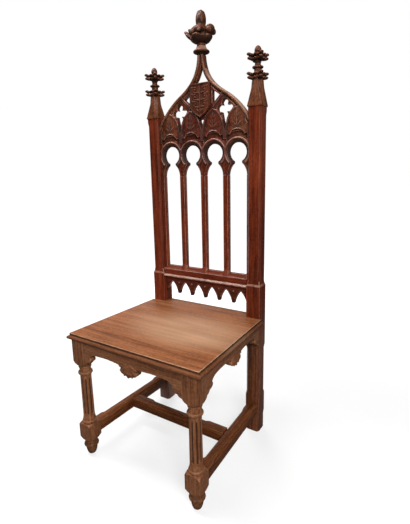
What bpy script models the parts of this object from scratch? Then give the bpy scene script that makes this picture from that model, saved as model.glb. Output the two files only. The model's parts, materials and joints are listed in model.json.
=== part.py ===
# A tall Gothic-revival church chair, jointed as a joiner would make it.
# Metres, +Z up. The seat faces -Y and the origin is on the floor under the middle of the chair.

import bmesh
import bpy
from math import acos, asin, cos, pi, sin, sqrt
from mathutils import Vector
from mathutils.geometry import interpolate_bezier

# Fits and small edges
FIT = 0.0003                    # clearance left between touching pieces
ARRIS = 0.0008                  # eased edge of a square section
OVERLAP = 0.004                 # how far a tenon's root is sunk in its own board

# Seat
SEAT_HEIGHT = 0.460
SEAT_THICKNESS = 0.021
SEAT_FRONT_WIDTH = 0.538
SEAT_REAR_WIDTH = 0.514
SEAT_FRONT_Y = -0.2600
SEAT_BACK_MARGIN = 0.009        # the seat stops this far short of the backs of the posts
NOSE_HEIGHT = 0.012             # rounded lower half of the moulded edge
NOSE_STEP = 0.008               # set-back of the fillet above it

# Rear posts
POST_CENTRE_X = 0.2157
POST_FRONT_Y = 0.1770
POST_WIDTH = 0.0535
POST_DEPTH = 0.053
POST_LEG_CHAMFER = 0.009
POST_FOOT_CHAMFER = 0.007
CHAMFER_STOP = 0.013            # length of the run-out of a chamfer
POST_SQUARE_BELOW = 0.004       # square part below and above the stretcher
POST_SQUARE_ABOVE = 0.036
UPPER_POST_WIDTH = 0.048
UPPER_POST_DEPTH = 0.047
UPPER_POST_CHAMFER = 0.0055
POST_CAP_HEIGHT = 0.007         # sloping shoulder from the block to the upper post
POST_HEIGHT = 1.191

# Front legs
LEG_CENTRE_X = 0.2275
LEG_CENTRE_Y = -0.2260
LEG_BLOCK = 0.052
LEG_SHAFT_RADIUS = 0.0203       # to the corners of the octagon, at its foot
LEG_SHAFT_TAPER = 0.0010        # how much smaller the shaft is at its top
LEG_FLUTE_DEPTH = 0.0024
LEG_COLLAR_RADIUS = 0.0247
LEG_COLLAR_HEIGHT = 0.012
LEG_NECK_HEIGHT = 0.039         # from the top block down to the upper collar
LEG_NECK_RADIUS = 0.0195        # of the drum between the upper collar and the ring above it
LEG_RING_DROP = 0.023           # from the top block down to the middle of that ring
LEG_RING_RADIUS = 0.0218
LEG_RING_HEIGHT = 0.006
LEG_SPREAD_HEIGHT = 0.016       # length of the sweep from the shaft out to a collar
FOOT_HEIGHT = 0.067             # floor to the underside of the base block
FOOT_RING_Z = 0.0385
FOOT_RING_RADIUS = 0.0256
FOOT_RING_HEIGHT = 0.013
FOOT_TOE_RADIUS = 0.0105
FOOT_SWELL = ((0.006, 0.0150), (0.015, 0.0178), (0.026, 0.0195))    # heights and radii above the toe
FOOT_CALF_RADIUS = 0.0193
FOOT_NECK_RADIUS = 0.0203
FOOT_SPREAD_HEIGHT = 0.006      # from the foot's neck out to the base block

# Aprons
APRON_THICKNESS = 0.022
APRON_SETBACK = 0.001           # behind the faces of the leg blocks
APRON_HEIGHT = 0.037            # under the seat, above the arch
BRACKET_WIDTH = 0.050
BRACKET_DROP = 0.041
BRACKET_STEPS = ((0.62, 0.32), (0.72, 0.54), (0.33, 0.77))      # corners, as shares of its width and drop
BRACKET_ARCS = (-0.002, 0.0015, 0.004, 0.003)
PENDANT_HALF_WIDTH = 0.048
PENDANT_DROP = 0.035
PENDANT_STEPS = ((0.30, 0.77), (0.68, 0.63), (0.62, 0.29))
PENDANT_ARCS = (0.0015, 0.003, 0.004, -0.0025)
ARCH_ARC = -0.003
REAR_APRON_HEIGHT = 0.046
REAR_APRON_THICKNESS = 0.020
REAR_APRON_INSET = 0.007        # in from the backs of the posts

# Stretchers
STRETCHER_WIDTH = 0.038
STRETCHER_HEIGHT = 0.037
STRETCHER_CHAMFER = 0.007
STRETCHER_SQUARE_END = 0.040    # length left square at each end
BASE_BLOCK_ABOVE = 0.013        # base block above the stretcher
BASE_BLOCK_BELOW = 0.008        # stretcher above the underside of the base block
CROSS_STRETCHER_Y = -0.0105
CROSS_STRETCHER_WIDTH = 0.035
CROSS_STRETCHER_SQUARE_END = 0.072

# Tenons
TENON_THICKNESS = 0.009
TENON_LENGTH = 0.020
TENON_SHOULDER = 0.006          # tenon in from the edges of its rail

# Corner blocks under the seat
CORNER_BLOCK_REACH = 0.058      # along each apron, beyond the leg or post
CORNER_BLOCK_HEIGHT = 0.034

# Back, from the seat upwards
BACK_GAP = 0.040                # seat to the tips of the pendants
ARCADE_HEIGHT = 0.067
ARCADE_ARCH_RISE = 0.047        # tip of a pendant to the point of an arch
ARCADE_ARCH_BEND = 0.0045       # how far each side of an arch bows out
ARCADE_BAYS = 6
ARCADE_THICKNESS = 0.012
ARCADE_HOUSING = 0.005          # depth of its ends in the posts
PENDANT_TIP_HALF = 0.0052
SILL_HEIGHT = 0.033
SILL_SLOPE_RISE = 0.015
SILL_FRONT_SETBACK = 0.006      # behind the faces of the post blocks
SILL_BACK_INSET = 0.011         # in from the backs of the posts
BEAD_HEIGHT = 0.011
LANCET_HEIGHT = 0.372           # sill edge to the springing of the keyhole heads

# Mullions and tracery head
LANCETS = 4
PANEL_SETBACK = 0.0195          # face of the tracery behind the faces of the post blocks
PANEL_THICKNESS = 0.018
MULLION_WIDTH = 0.0285
SPLAY = 0.0055                  # width of the sloping edge on the face of the mullions
SPLAY_DEPTH = 0.007
EYE_SPLAY = 0.0095              # and of the wider one round the eyes
BACK_EASE = 0.003               # the openings widen by this much towards the back
MULLION_SEAT = 0.002            # depth of the mullion feet below the sill edge
STUB_WIDTH = 0.007              # stub tenon at the head of a mullion
STUB_LENGTH = 0.012
HOLE_RISE = 0.078               # springing to the centre of a round eye
HOLE_RADIUS = 0.0325
NECK_HALF_WIDTH = 0.014         # half the gap between the cusps under an eye
CUSP_SETBACK = 0.0115           # how much further apart the cusps are on the face
CUSP_TIP = 0.0075
CUSP_TIP_FACE = 0.004
CUSP_TIP_BACK = 0.006
GABLET_SPRING = 0.080           # centre of the eye to the springing of the gablet
GABLET_RISE = 0.075
GABLET_LEG = 0.034              # straight foot below the springing
GABLET_RIB = 0.007
GABLET_RELIEF = 0.005
HEAD_TENON_RISE = 0.045         # tenon of the head, above the springing
HEAD_TENON_HEIGHT = 0.055
TRIPLE_HOLE_RISE = 0.228        # springing to the middle of the three-lobed piercing
TRIPLE_LOBE_REACH = 0.030
TRIPLE_LOBE_ROOT = 0.0095
TRIPLE_TAIL = 0.052
TRIPLE_TAIL_WAIST = 0.00855     # half width half-way down the tail
SPANDREL_SPLAY = 1.08           # the small piercings open out to the face by this ratio
SPANDREL_BACK = 1.04            # and to the back by this one
SPANDREL_SPLAY_DEPTH = 0.004
DROP_HOLE_RISE = 0.191
DROP_HOLE_RADIUS = 0.0062
SIDE_HOLE_RISE = 0.250          # springing to the lowest corner of the piercing beside the shield
SIDE_HOLE_HEIGHT = 0.044
SIDE_HOLE_REACH = 0.029
SIDE_HOLE_CORNER = 0.024         # its outer corner, above the lowest one
SIDE_HOLE_MARGIN = 0.0024        # wood left between it and the shield
HEAD_TOP_RISE = 0.317           # springing to the top of the head board, behind the shield

# Ogee arch
OGEE_THICKNESS = 0.0155
OGEE_DEPTH = 0.026
OGEE_PROUD = 0.007              # its face before the face of the tracery
OGEE_ROLL = 0.005
OGEE_HOLLOW = 0.0085            # depth of the hollow behind the roll
OGEE_EDGE = 0.0110              # depth at which the square back begins
OGEE_FOOT_RISE = 0.188          # springing of the lancets to the foot of the arch at the post
OGEE_FOOT_PULL = (-0.0212, 0.037)
OGEE_TURN_RISE = 0.2875         # to the point where the curve reverses
OGEE_TURN_INSET = 0.0972        # in from the post
OGEE_TURN_PULL = (-0.039, 0.024)
OGEE_TURN_PULL_ABOVE = (-0.051, 0.031)
OGEE_TOP_RISE = 0.414
OGEE_TOP_PULL = (0.004, -0.064)
OGEE_STEM_HALF = 0.0116
OGEE_TENON_DROP = 0.007         # tenon below the foot's upper corner
OGEE_TENON_HEIGHT = 0.012

# Shield
SHIELD_WIDTH = 0.086
SHIELD_HEIGHT = 0.117
SHIELD_STRAIGHT = 0.080
SHIELD_THICKNESS = 0.014
SHIELD_BORDER = 0.005
SHIELD_SINK = 0.0025
SHIELD_ABOVE_HEAD = 0.004
SHIELD_FLANK = 0.004            # how far its lower sides bow out

# Finial on the arch
SPIGOT_RADIUS = 0.005
SPIGOT_LENGTH = 0.030
FINIAL_FOOT_RADIUS = 0.0135
ABACUS_RADIUS = 0.029
ABACUS_TOP_RADIUS = 0.026
ABACUS_HEIGHT = 0.016
FINIAL_WAIST_RADIUS = 0.0167
FINIAL_NECK_RADIUS = 0.0145
FINIAL_NECK_HEIGHT = 0.022
FOLIAGE_HEIGHT = 0.056
FOLIAGE_CORE = 0.024
FOLIAGE_REACH = 0.0575
BUD_RADIUS = 0.0205
BUD_HEIGHT = 0.052
# Leaves: shares of the height, of the core's radius and of the leaves' reach. Two tiers of lobes.
FOLIAGE_SWELL = ((0.08, 0.75, 0.52), (0.20, 0.95, 0.70), (0.34, 1.0, 0.62), (0.48, 1.05, 0.72),
                 (0.66, 1.0, 0.92), (0.82, 0.95, 1.0), (0.93, 0.85, 0.95), (1.0, 0.72, 0.75))
# Buds: shares of the height and of the radius.
BUD_SWELL = ((0.02, 0.75), (0.12, 0.82), (0.35, 1.0), (0.58, 0.92), (0.80, 0.62), (0.95, 0.26), (1.0, 0.08))

# Pinnacles on the posts
EAVE_WIDTH = 0.0525             # it overhangs the post
EAVE_HEIGHT = 0.003
SPIRE_HEIGHT = 0.081
SPIRE_SHOULDER = 0.059          # height at which the square has become an octagon
SPIRE_SHOULDER_RADIUS = 0.0215
SPIRE_RADIUS = 0.0195
COLLAR_FOOT_RADIUS = 0.0185
LEAF_REACH = 0.037
LEAF_COLLAR_HEIGHT = 0.026
COLLAR_SWELL = ((0.14, 1.0, 0.68), (0.30, 1.0, 0.95), (0.48, 0.95, 0.72), (0.66, 0.92, 0.90),
                (0.84, 0.85, 1.0), (1.0, 0.68, 0.80))
STEM_RADIUS = 0.0125
STEM_HEIGHT = 0.011
STEM_RING_RADIUS = 0.0185
STEM_RING_HEIGHT = 0.007
TIP_NECK_RADIUS = 0.0100         # neck between the ring and the upper leaves
TIP_NECK_HEIGHT = 0.014
TIP_CROSS_HEIGHT = 0.026
TIP_SWELL = ((0.20, 1.0, 0.50), (0.38, 1.05, 0.90), (0.55, 1.05, 0.74), (0.72, 1.05, 0.92),
             (0.88, 1.05, 1.0), (1.0, 0.95, 0.80))
TIP_BUD_RADIUS = 0.012
TIP_BUD_HEIGHT = 0.023
TIP_BUD_SWELL = ((0.04, 0.9), (0.35, 1.0), (0.70, 0.75), (0.93, 0.3), (1.0, 0.08))
SMOOTH_ANGLE = 0.6              # carved surfaces shade smoothly below this angle

# Places that follow from the sizes above
SEAT_BOTTOM = SEAT_HEIGHT - SEAT_THICKNESS
POST_BACK_Y = POST_FRONT_Y + POST_DEPTH
POST_CENTRE_Y = POST_FRONT_Y + POST_DEPTH / 2
POST_INNER_X = POST_CENTRE_X - POST_WIDTH / 2
UPPER_INNER_X = POST_CENTRE_X - UPPER_POST_WIDTH / 2
LEG_INNER_X = LEG_CENTRE_X - LEG_BLOCK / 2
LEG_BACK_Y = LEG_CENTRE_Y + LEG_BLOCK / 2
LEG_FRONT_Y = LEG_CENTRE_Y - LEG_BLOCK / 2
RAIL_TOP = SEAT_BOTTOM - FIT
ARCH_Z = SEAT_BOTTOM - APRON_HEIGHT
BRACKET_Z = ARCH_Z - BRACKET_DROP
STRETCHER_BOTTOM = FOOT_HEIGHT + BASE_BLOCK_BELOW
STRETCHER_TOP = STRETCHER_BOTTOM + STRETCHER_HEIGHT
BASE_BLOCK_TOP = STRETCHER_TOP + BASE_BLOCK_ABOVE
ARCADE_BOTTOM = SEAT_HEIGHT + BACK_GAP
SILL_BOTTOM = ARCADE_BOTTOM + ARCADE_HEIGHT
SILL_EDGE_Z = SILL_BOTTOM + SILL_HEIGHT
POST_BLOCK_TOP = SILL_BOTTOM + BEAD_HEIGHT
HEAD_BOTTOM = SILL_EDGE_Z + LANCET_HEIGHT
MULLION_FOOT_Z = SILL_EDGE_Z - MULLION_SEAT
EYE_Z = HEAD_BOTTOM + HOLE_RISE
PANEL_FRONT_Y = POST_FRONT_Y + PANEL_SETBACK
PANEL_BACK_Y = PANEL_FRONT_Y + PANEL_THICKNESS
SILL_FRONT_Y = POST_FRONT_Y + SILL_FRONT_SETBACK
SILL_BACK_Y = POST_BACK_Y - SILL_BACK_INSET
BAY = 2 * UPPER_INNER_X / LANCETS
OGEE_TOP_Z = HEAD_BOTTOM + OGEE_TOP_RISE
OGEE_FRONT_Y = PANEL_FRONT_Y - OGEE_PROUD
OGEE_BACK_Y = OGEE_FRONT_Y + OGEE_DEPTH
FINIAL_Y = (OGEE_FRONT_Y + OGEE_BACK_Y) / 2
SIDES = (("left", -1), ("right", 1))


# Scene and object helpers
def clear_scene():
    for thing in list(bpy.data.objects):
        bpy.data.objects.remove(thing)


def make_material(name, colour, roughness):
    material = bpy.data.materials.new(name)
    material.use_nodes = True
    shader = material.node_tree.nodes["Principled BSDF"]
    shader.inputs["Base Color"].default_value = (*colour, 1.0)
    shader.inputs["Roughness"].default_value = roughness
    shader.inputs["Metallic"].default_value = 0.0
    return material


def add_piece(name, bm, material, smooth_angle=None):
    bmesh.ops.recalc_face_normals(bm, faces=bm.faces)
    mesh = bpy.data.meshes.new(name)
    bm.to_mesh(mesh)
    bm.free()
    if smooth_angle:
        mesh.shade_smooth()
        mesh.set_sharp_from_angle(angle=smooth_angle)
    mesh.materials.append(material)
    piece = bpy.data.objects.new(name, mesh)
    bpy.context.scene.collection.objects.link(piece)
    return piece


def combine(piece, operation, bm):
    """Join or cut a piece with the shapes in bm, kept as a hidden guide."""
    word = {"UNION": "joined", "DIFFERENCE": "cut", "INTERSECT": "trimmed"}[operation]
    guide = add_piece(f"{piece.name}.{word}", bm, piece.data.materials[0])
    guide.hide_render = True
    guide.display_type = "WIRE"
    modifier = piece.modifiers.new(word, "BOOLEAN")
    modifier.operation = operation
    modifier.solver = "EXACT"
    modifier.object = guide
    return guide


def add_box(bm, low, high):
    low, high = Vector(low), Vector(high)
    for k in range(3):
        low[k], high[k] = min(low[k], high[k]), max(low[k], high[k])
    made = bmesh.ops.create_cube(bm, size=1.0)
    bmesh.ops.scale(bm, vec=high - low, verts=made["verts"])
    bmesh.ops.translate(bm, vec=(low + high) / 2, verts=made["verts"])


def boxes(*pairs):
    bm = bmesh.new()
    for low, high in pairs:
        add_box(bm, low, high)
    return bm


def grown(pair, clearance=FIT):
    """A mortise: the tenon's box with the clearance all round."""
    low, high = pair
    spread = [clearance if a <= b else -clearance for a, b in zip(low, high)]
    return ([a - s for a, s in zip(low, spread)], [b + s for b, s in zip(high, spread)])


# Outline and loft helpers
def closed_loop(bm, points):
    verts = [bm.verts.new(point) for point in points]
    return [bm.edges.new((a, b)) for a, b in zip(verts, verts[1:] + verts[:1])]


def loft(rings):
    """A closed body through rings that have the same number of points."""
    bm = bmesh.new()
    loops = [closed_loop(bm, ring) for ring in rings]
    for near, far in zip(loops, loops[1:]):
        bmesh.ops.bridge_loops(bm, edges=near + far)
    for loop in (loops[0], loops[-1]):
        bmesh.ops.edgeloop_fill(bm, edges=loop)
    return bm


def pierced_board(levels):
    """A board whose outlines, the outer one first and then its holes, change from level to level."""
    bm = bmesh.new()
    rows = []
    for y, outlines in levels:
        rows.append([closed_loop(bm, [(x, y, z) for x, z in outline]) for outline in outlines])
    for near, far in zip(rows, rows[1:]):
        for near_loop, far_loop in zip(near, far):
            bmesh.ops.bridge_loops(bm, edges=near_loop + far_loop)
    for row in (rows[0], rows[-1]):
        bmesh.ops.triangle_fill(bm, use_beauty=True, edges=[edge for loop in row for edge in loop])
    return bm


def arc(centre, radius, start, end, steps):
    angles = [start + (end - start) * k / steps for k in range(steps + 1)]
    return [(centre[0] + radius * cos(a), centre[1] + radius * sin(a)) for a in angles]


def bulge(start, end, rise, steps=5):
    """Points of an arc from start to just before end, standing rise to the right of the chord."""
    start, end = Vector(start), Vector(end)
    chord = end - start
    half = chord.length / 2
    normal = Vector((chord.y, -chord.x)).normalized() * (1 if rise > 0 else -1)
    height = abs(rise)
    radius = (half * half + height * height) / (2 * height)
    centre = (start + end) / 2 + normal * (height - radius)
    half_angle = acos(max(-1.0, min(1.0, (radius - height) / radius)))
    along = chord.normalized()
    points = []
    for k in range(steps):
        turn = -half_angle + 2 * half_angle * k / steps
        points.append(tuple(centre + normal * radius * cos(turn) + along * radius * sin(turn)))
    return points


def scalloped(points, rises):
    """An open outline through points, with an arc of the given rise on each stretch."""
    outline = []
    for start, end, rise in zip(points, points[1:], rises):
        outline += bulge(start, end, rise) if rise else [start]
    return outline + [points[-1]]


def mirrored(half):
    """A half outline, from the middle outwards, made whole and running from left to right."""
    middle = half[:1] if abs(half[0][0]) < FIT else []
    rest = half[len(middle):]
    return [(-x, z) for x, z in reversed(rest)] + middle + rest


def turned_ring(centre, z, shape, size, hollow=0.0):
    """Sixteen points round an axis: a circle, a square or an octagon with hollow sides."""
    points = []
    for k in range(16):
        angle = k * pi / 8
        radius = size
        if shape == "square":
            radius = size / max(abs(cos(angle)), abs(sin(angle)))
        if shape == "octagon" and k % 2 == 0:
            radius = size * cos(pi / 8) - hollow
        points.append((centre[0] + radius * cos(angle), centre[1] + radius * sin(angle), z))
    return points


def chamfered_ring(centre, z, width, depth, chamfer):
    """Eight points of a rectangle with its corners cut off."""
    a, b = width / 2, depth / 2
    corners = [(a, b - chamfer), (a - chamfer, b), (chamfer - a, b), (-a, b - chamfer),
               (-a, chamfer - b), (chamfer - a, -b), (a - chamfer, -b), (a, chamfer - b)]
    return [(centre[0] + x, centre[1] + y, z) for x, y in corners]


def lobed_ring(centre, z, core, reach, turn=0.0):
    """Twenty-four points with four leaves standing out, on the diagonals unless turned."""
    points = []
    for k in range(24):
        angle = k * pi / 12
        radius = core + (reach - core) * sin(2 * (angle - turn)) ** 4
        points.append((centre[0] + radius * cos(angle), centre[1] + radius * sin(angle), z))
    return points


def round_ring(centre, z, radius):
    return lobed_ring(centre, z, radius, radius)


def leaf_rings(centre, base, height, swell, core_radius, leaf_reach, turn=0.0):
    rings = []
    for share, core, reach in swell:
        z = base + share * height
        rings.append(lobed_ring(centre, z, core * core_radius, reach * leaf_reach, turn))
    return rings


def bud_rings(centre, base, height, swell, radius):
    return [round_ring(centre, base + share * height, size * radius) for share, size in swell]


def bead_stations(z, radius, height):
    """A round ring on a turned piece: heights and radii round its half circle."""
    half = height / 2
    angles = [-pi / 2 + pi * k / 4 for k in range(5)]
    return [(z + half * sin(a), "round", radius - half + half * cos(a)) for a in angles]


# Seat
def seat_ring(z, inset):
    front, rear = SEAT_FRONT_WIDTH / 2 - inset, SEAT_REAR_WIDTH / 2 - inset
    front_y, wing_y = SEAT_FRONT_Y + inset, POST_FRONT_Y - FIT
    tongue, tongue_y = POST_INNER_X - FIT, POST_BACK_Y - SEAT_BACK_MARGIN
    half = [(front, front_y), (rear, wing_y), (tongue, wing_y), (tongue, tongue_y)]
    return [(x, y, z) for x, y in half] + [(-x, y, z) for x, y in reversed(half)]


def make_seat(wood):
    radius = NOSE_HEIGHT / 2
    rings = []
    for k in range(7):
        angle = -pi / 2 + pi * k / 6
        rings.append(seat_ring(SEAT_BOTTOM + radius + radius * sin(angle), radius - radius * cos(angle)))
    rings.append(seat_ring(SEAT_BOTTOM + NOSE_HEIGHT + ARRIS, NOSE_STEP))
    rings.append(seat_ring(SEAT_HEIGHT - ARRIS, NOSE_STEP))
    rings.append(seat_ring(SEAT_HEIGHT, NOSE_STEP + ARRIS))
    add_piece("seat_board", loft(rings), wood)


# Joint boxes that both pieces of a joint share
def rail_tenon_x(side, shoulder_x, y, low_z, high_z, length=TENON_LENGTH, thickness=TENON_THICKNESS):
    """A tenon that runs outwards along X from a rail's shoulder."""
    root, tip = side * (shoulder_x - OVERLAP), side * (shoulder_x + length)
    return ((root, y - thickness / 2, low_z), (tip, y + thickness / 2, high_z))


def side_slope(front_x, back_x):
    return (back_x - front_x) / (POST_FRONT_Y - LEG_BACK_Y)


SIDE_APRON_FRONT_X = LEG_CENTRE_X + LEG_BLOCK / 2 - APRON_SETBACK - APRON_THICKNESS / 2
SIDE_APRON_BACK_X = POST_CENTRE_X + POST_WIDTH / 2 - APRON_SETBACK - APRON_THICKNESS / 2
APRON_SLOPE = side_slope(SIDE_APRON_FRONT_X, SIDE_APRON_BACK_X)
STRETCHER_SLOPE = side_slope(LEG_CENTRE_X, POST_CENTRE_X)
FRONT_APRON_Y = LEG_FRONT_Y + APRON_SETBACK + APRON_THICKNESS / 2
REAR_APRON_Y = POST_BACK_Y - REAR_APRON_INSET - REAR_APRON_THICKNESS / 2
APRON_TENON_Z = (ARCH_Z - TENON_SHOULDER, RAIL_TOP - TENON_SHOULDER)
REAR_TENON_Z = (RAIL_TOP - REAR_APRON_HEIGHT + TENON_SHOULDER, RAIL_TOP - TENON_SHOULDER)
STRETCHER_TENON_Z = (STRETCHER_BOTTOM + TENON_SHOULDER, STRETCHER_TOP - TENON_SHOULDER)
SILL_TENON_Z = (SILL_BOTTOM + TENON_SHOULDER / 2, SILL_EDGE_Z - TENON_SHOULDER)
SILL_TENON_Y = (SILL_FRONT_Y + SILL_BACK_Y) / 2


def side_apron_x(y):
    return SIDE_APRON_FRONT_X + APRON_SLOPE * (y - LEG_BACK_Y)


def stretcher_x(y):
    return LEG_CENTRE_X + STRETCHER_SLOPE * (y - LEG_BACK_Y)


def rail_tenon_y(side, x, root_y, tip_y, heights, thickness=TENON_THICKNESS):
    """A tenon that runs along Y, into a leg or a post."""
    return ((side * x - thickness / 2, root_y, heights[0]), (side * x + thickness / 2, tip_y, heights[1]))


def side_joints(side, middle_x, heights):
    """The front and rear tenons of a side rail."""
    front_y, back_y = LEG_BACK_Y, POST_FRONT_Y
    front = rail_tenon_y(side, middle_x(front_y), front_y + OVERLAP, front_y - TENON_LENGTH, heights)
    back = rail_tenon_y(side, middle_x(back_y), back_y - OVERLAP, back_y + TENON_LENGTH, heights)
    return front, back


def front_apron_tenon(side):
    return rail_tenon_x(side, LEG_INNER_X, FRONT_APRON_Y, *APRON_TENON_Z)


def rear_apron_tenon(side):
    return rail_tenon_x(side, POST_INNER_X, REAR_APRON_Y, *REAR_TENON_Z)


def sill_tenon(side):
    return rail_tenon_x(side, POST_INNER_X, SILL_TENON_Y, *SILL_TENON_Z)


def arcade_end(side):
    back_y = PANEL_FRONT_Y + ARCADE_THICKNESS
    return ((side * (POST_INNER_X - FIT), PANEL_FRONT_Y, ARCADE_BOTTOM),
            (side * (POST_INNER_X + ARCADE_HOUSING), back_y, SILL_BOTTOM - FIT))


def head_tenon(side):
    low = HEAD_BOTTOM + HEAD_TENON_RISE
    middle_y = (PANEL_FRONT_Y + PANEL_BACK_Y) / 2
    return rail_tenon_x(side, UPPER_INNER_X, middle_y, low, low + HEAD_TENON_HEIGHT, TENON_LENGTH / 2)


def ogee_tenon(side):
    high = HEAD_BOTTOM + OGEE_FOOT_RISE - OGEE_TENON_DROP
    middle_y = (OGEE_FRONT_Y + OGEE_BACK_Y) / 2
    return rail_tenon_x(side, UPPER_INNER_X, middle_y, high - OGEE_TENON_HEIGHT, high, TENON_LENGTH / 2)


def spigot_bore(x, y, z):
    """A hole for a spigot, as deep below z as it stands above it."""
    bm = bmesh.new()
    made = bmesh.ops.create_cone(bm, cap_ends=True, segments=16, radius1=SPIGOT_RADIUS + FIT,
                                 radius2=SPIGOT_RADIUS + FIT, depth=2 * (SPIGOT_LENGTH + FIT))
    bmesh.ops.translate(bm, vec=(x, y, z), verts=made["verts"])
    return bm


# Front legs
def leg_stations():
    block, spread = LEG_BLOCK / 2, LEG_SPREAD_HEIGHT / 2
    low_collar = BASE_BLOCK_TOP + LEG_COLLAR_HEIGHT / 2 + ARRIS
    high_collar = BRACKET_Z - LEG_NECK_HEIGHT - LEG_COLLAR_HEIGHT / 2
    ring_z = BRACKET_Z - LEG_RING_DROP
    shaft_foot = BASE_BLOCK_TOP + LEG_COLLAR_HEIGHT + LEG_SPREAD_HEIGHT
    shaft_top = high_collar - LEG_SPREAD_HEIGHT
    small = LEG_SHAFT_RADIUS - LEG_SHAFT_TAPER
    stations = [(0.0, "round", FOOT_TOE_RADIUS)] + [(z, "round", radius) for z, radius in FOOT_SWELL]
    stations.append((FOOT_RING_Z - FOOT_RING_HEIGHT / 2 - ARRIS, "round", FOOT_CALF_RADIUS))
    stations += bead_stations(FOOT_RING_Z, FOOT_RING_RADIUS, FOOT_RING_HEIGHT)
    stations += [(FOOT_RING_Z + FOOT_RING_HEIGHT, "round", FOOT_NECK_RADIUS),
                 (FOOT_HEIGHT - FOOT_SPREAD_HEIGHT, "square", (block + FOOT_NECK_RADIUS) / 2),
                 (FOOT_HEIGHT, "square", block), (BASE_BLOCK_TOP, "square", block)]
    stations += bead_stations(low_collar, LEG_COLLAR_RADIUS, LEG_COLLAR_HEIGHT)
    stations += [(shaft_foot - spread, "octagon", LEG_SHAFT_RADIUS + ARRIS),
                 (shaft_foot, "octagon", LEG_SHAFT_RADIUS),
                 (shaft_foot + spread, "octagon", LEG_SHAFT_RADIUS, LEG_FLUTE_DEPTH),
                 (shaft_top - spread, "octagon", small, LEG_FLUTE_DEPTH),
                 (shaft_top, "octagon", small)]
    stations += bead_stations(high_collar, LEG_COLLAR_RADIUS, LEG_COLLAR_HEIGHT)
    stations += [(high_collar + LEG_COLLAR_HEIGHT / 2 + ARRIS, "round", LEG_NECK_RADIUS),
                 (ring_z - LEG_RING_HEIGHT / 2 - ARRIS, "round", LEG_NECK_RADIUS)]
    stations += bead_stations(ring_z, LEG_RING_RADIUS, LEG_RING_HEIGHT)
    stations += [(ring_z + LEG_RING_HEIGHT / 2 + ARRIS, "square", LEG_NECK_RADIUS),
                 (BRACKET_Z, "square", block), (RAIL_TOP, "square", block)]
    return stations


def make_front_legs(wood):
    for name, side in SIDES:
        centre = (side * LEG_CENTRE_X, LEG_CENTRE_Y)
        rings = [turned_ring(centre, *station) for station in leg_stations()]
        leg = add_piece(f"front_leg_{name}", loft(rings), wood)
        mortises = [front_apron_tenon(side), side_joints(side, side_apron_x, APRON_TENON_Z)[0],
                    side_joints(side, stretcher_x, STRETCHER_TENON_Z)[0]]
        combine(leg, "DIFFERENCE", boxes(*[grown(tenon) for tenon in mortises]))


# Rear posts
def post_stations():
    """Height, width, depth and chamfer from the foot to the top."""
    lower, upper = (POST_WIDTH, POST_DEPTH), (UPPER_POST_WIDTH, UPPER_POST_DEPTH)
    square_low = STRETCHER_BOTTOM - POST_SQUARE_BELOW
    square_high = STRETCHER_TOP + POST_SQUARE_ABOVE
    cap = POST_BLOCK_TOP + POST_CAP_HEIGHT
    return [(0.0, *lower, POST_FOOT_CHAMFER), (square_low - CHAMFER_STOP, *lower, POST_FOOT_CHAMFER),
            (square_low, *lower, ARRIS), (square_high, *lower, ARRIS),
            (square_high + CHAMFER_STOP, *lower, POST_LEG_CHAMFER),
            (BRACKET_Z - 2 * CHAMFER_STOP, *lower, POST_LEG_CHAMFER),
            (BRACKET_Z - CHAMFER_STOP, *lower, ARRIS), (POST_BLOCK_TOP, *lower, ARRIS),
            (cap, *upper, ARRIS), (cap + CHAMFER_STOP, *upper, UPPER_POST_CHAMFER),
            (POST_HEIGHT - 2 * CHAMFER_STOP, *upper, UPPER_POST_CHAMFER),
            (POST_HEIGHT - CHAMFER_STOP, *upper, ARRIS), (POST_HEIGHT, *upper, ARRIS)]


def make_rear_posts(wood):
    for name, side in SIDES:
        centre = (side * POST_CENTRE_X, POST_CENTRE_Y)
        rings = [chamfered_ring(centre, *station) for station in post_stations()]
        post = add_piece(f"rear_post_{name}", loft(rings), wood)
        mortises = [side_joints(side, side_apron_x, APRON_TENON_Z)[1],
                    side_joints(side, stretcher_x, STRETCHER_TENON_Z)[1],
                    rear_apron_tenon(side), sill_tenon(side), arcade_end(side),
                    head_tenon(side), ogee_tenon(side)]
        cutter = spigot_bore(*centre, POST_HEIGHT)
        for mortise in mortises:
            add_box(cutter, *grown(mortise))
        combine(post, "DIFFERENCE", cutter)


# Aprons
def apron_outline(low, high):
    """Length along the apron against height: brackets at both ends, a leaf pendant in the middle."""
    middle, half = (low + high) / 2, (high - low) / 2
    corners = [(0.0, ARCH_Z - PENDANT_DROP)]
    corners += [(x * PENDANT_HALF_WIDTH, ARCH_Z - z * PENDANT_DROP) for x, z in PENDANT_STEPS]
    corners += [(PENDANT_HALF_WIDTH, ARCH_Z), (half - BRACKET_WIDTH, ARCH_Z)]
    corners += [(half - x * BRACKET_WIDTH, ARCH_Z - z * BRACKET_DROP) for x, z in BRACKET_STEPS]
    corners.append((half, BRACKET_Z))
    lower_half = scalloped(corners, (*PENDANT_ARCS, ARCH_ARC, *BRACKET_ARCS))
    lower = [(middle + x, z) for x, z in mirrored(lower_half)]
    return lower + [(high, RAIL_TOP), (low, RAIL_TOP)]


def make_front_apron(wood):
    end = LEG_INNER_X - FIT
    near, far = FRONT_APRON_Y - APRON_THICKNESS / 2, FRONT_APRON_Y + APRON_THICKNESS / 2
    outline = apron_outline(-end, end)
    apron = add_piece("front_apron", pierced_board([(near, [outline]), (far, [outline])]), wood)
    combine(apron, "UNION", boxes(*[front_apron_tenon(side) for _, side in SIDES]))


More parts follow.
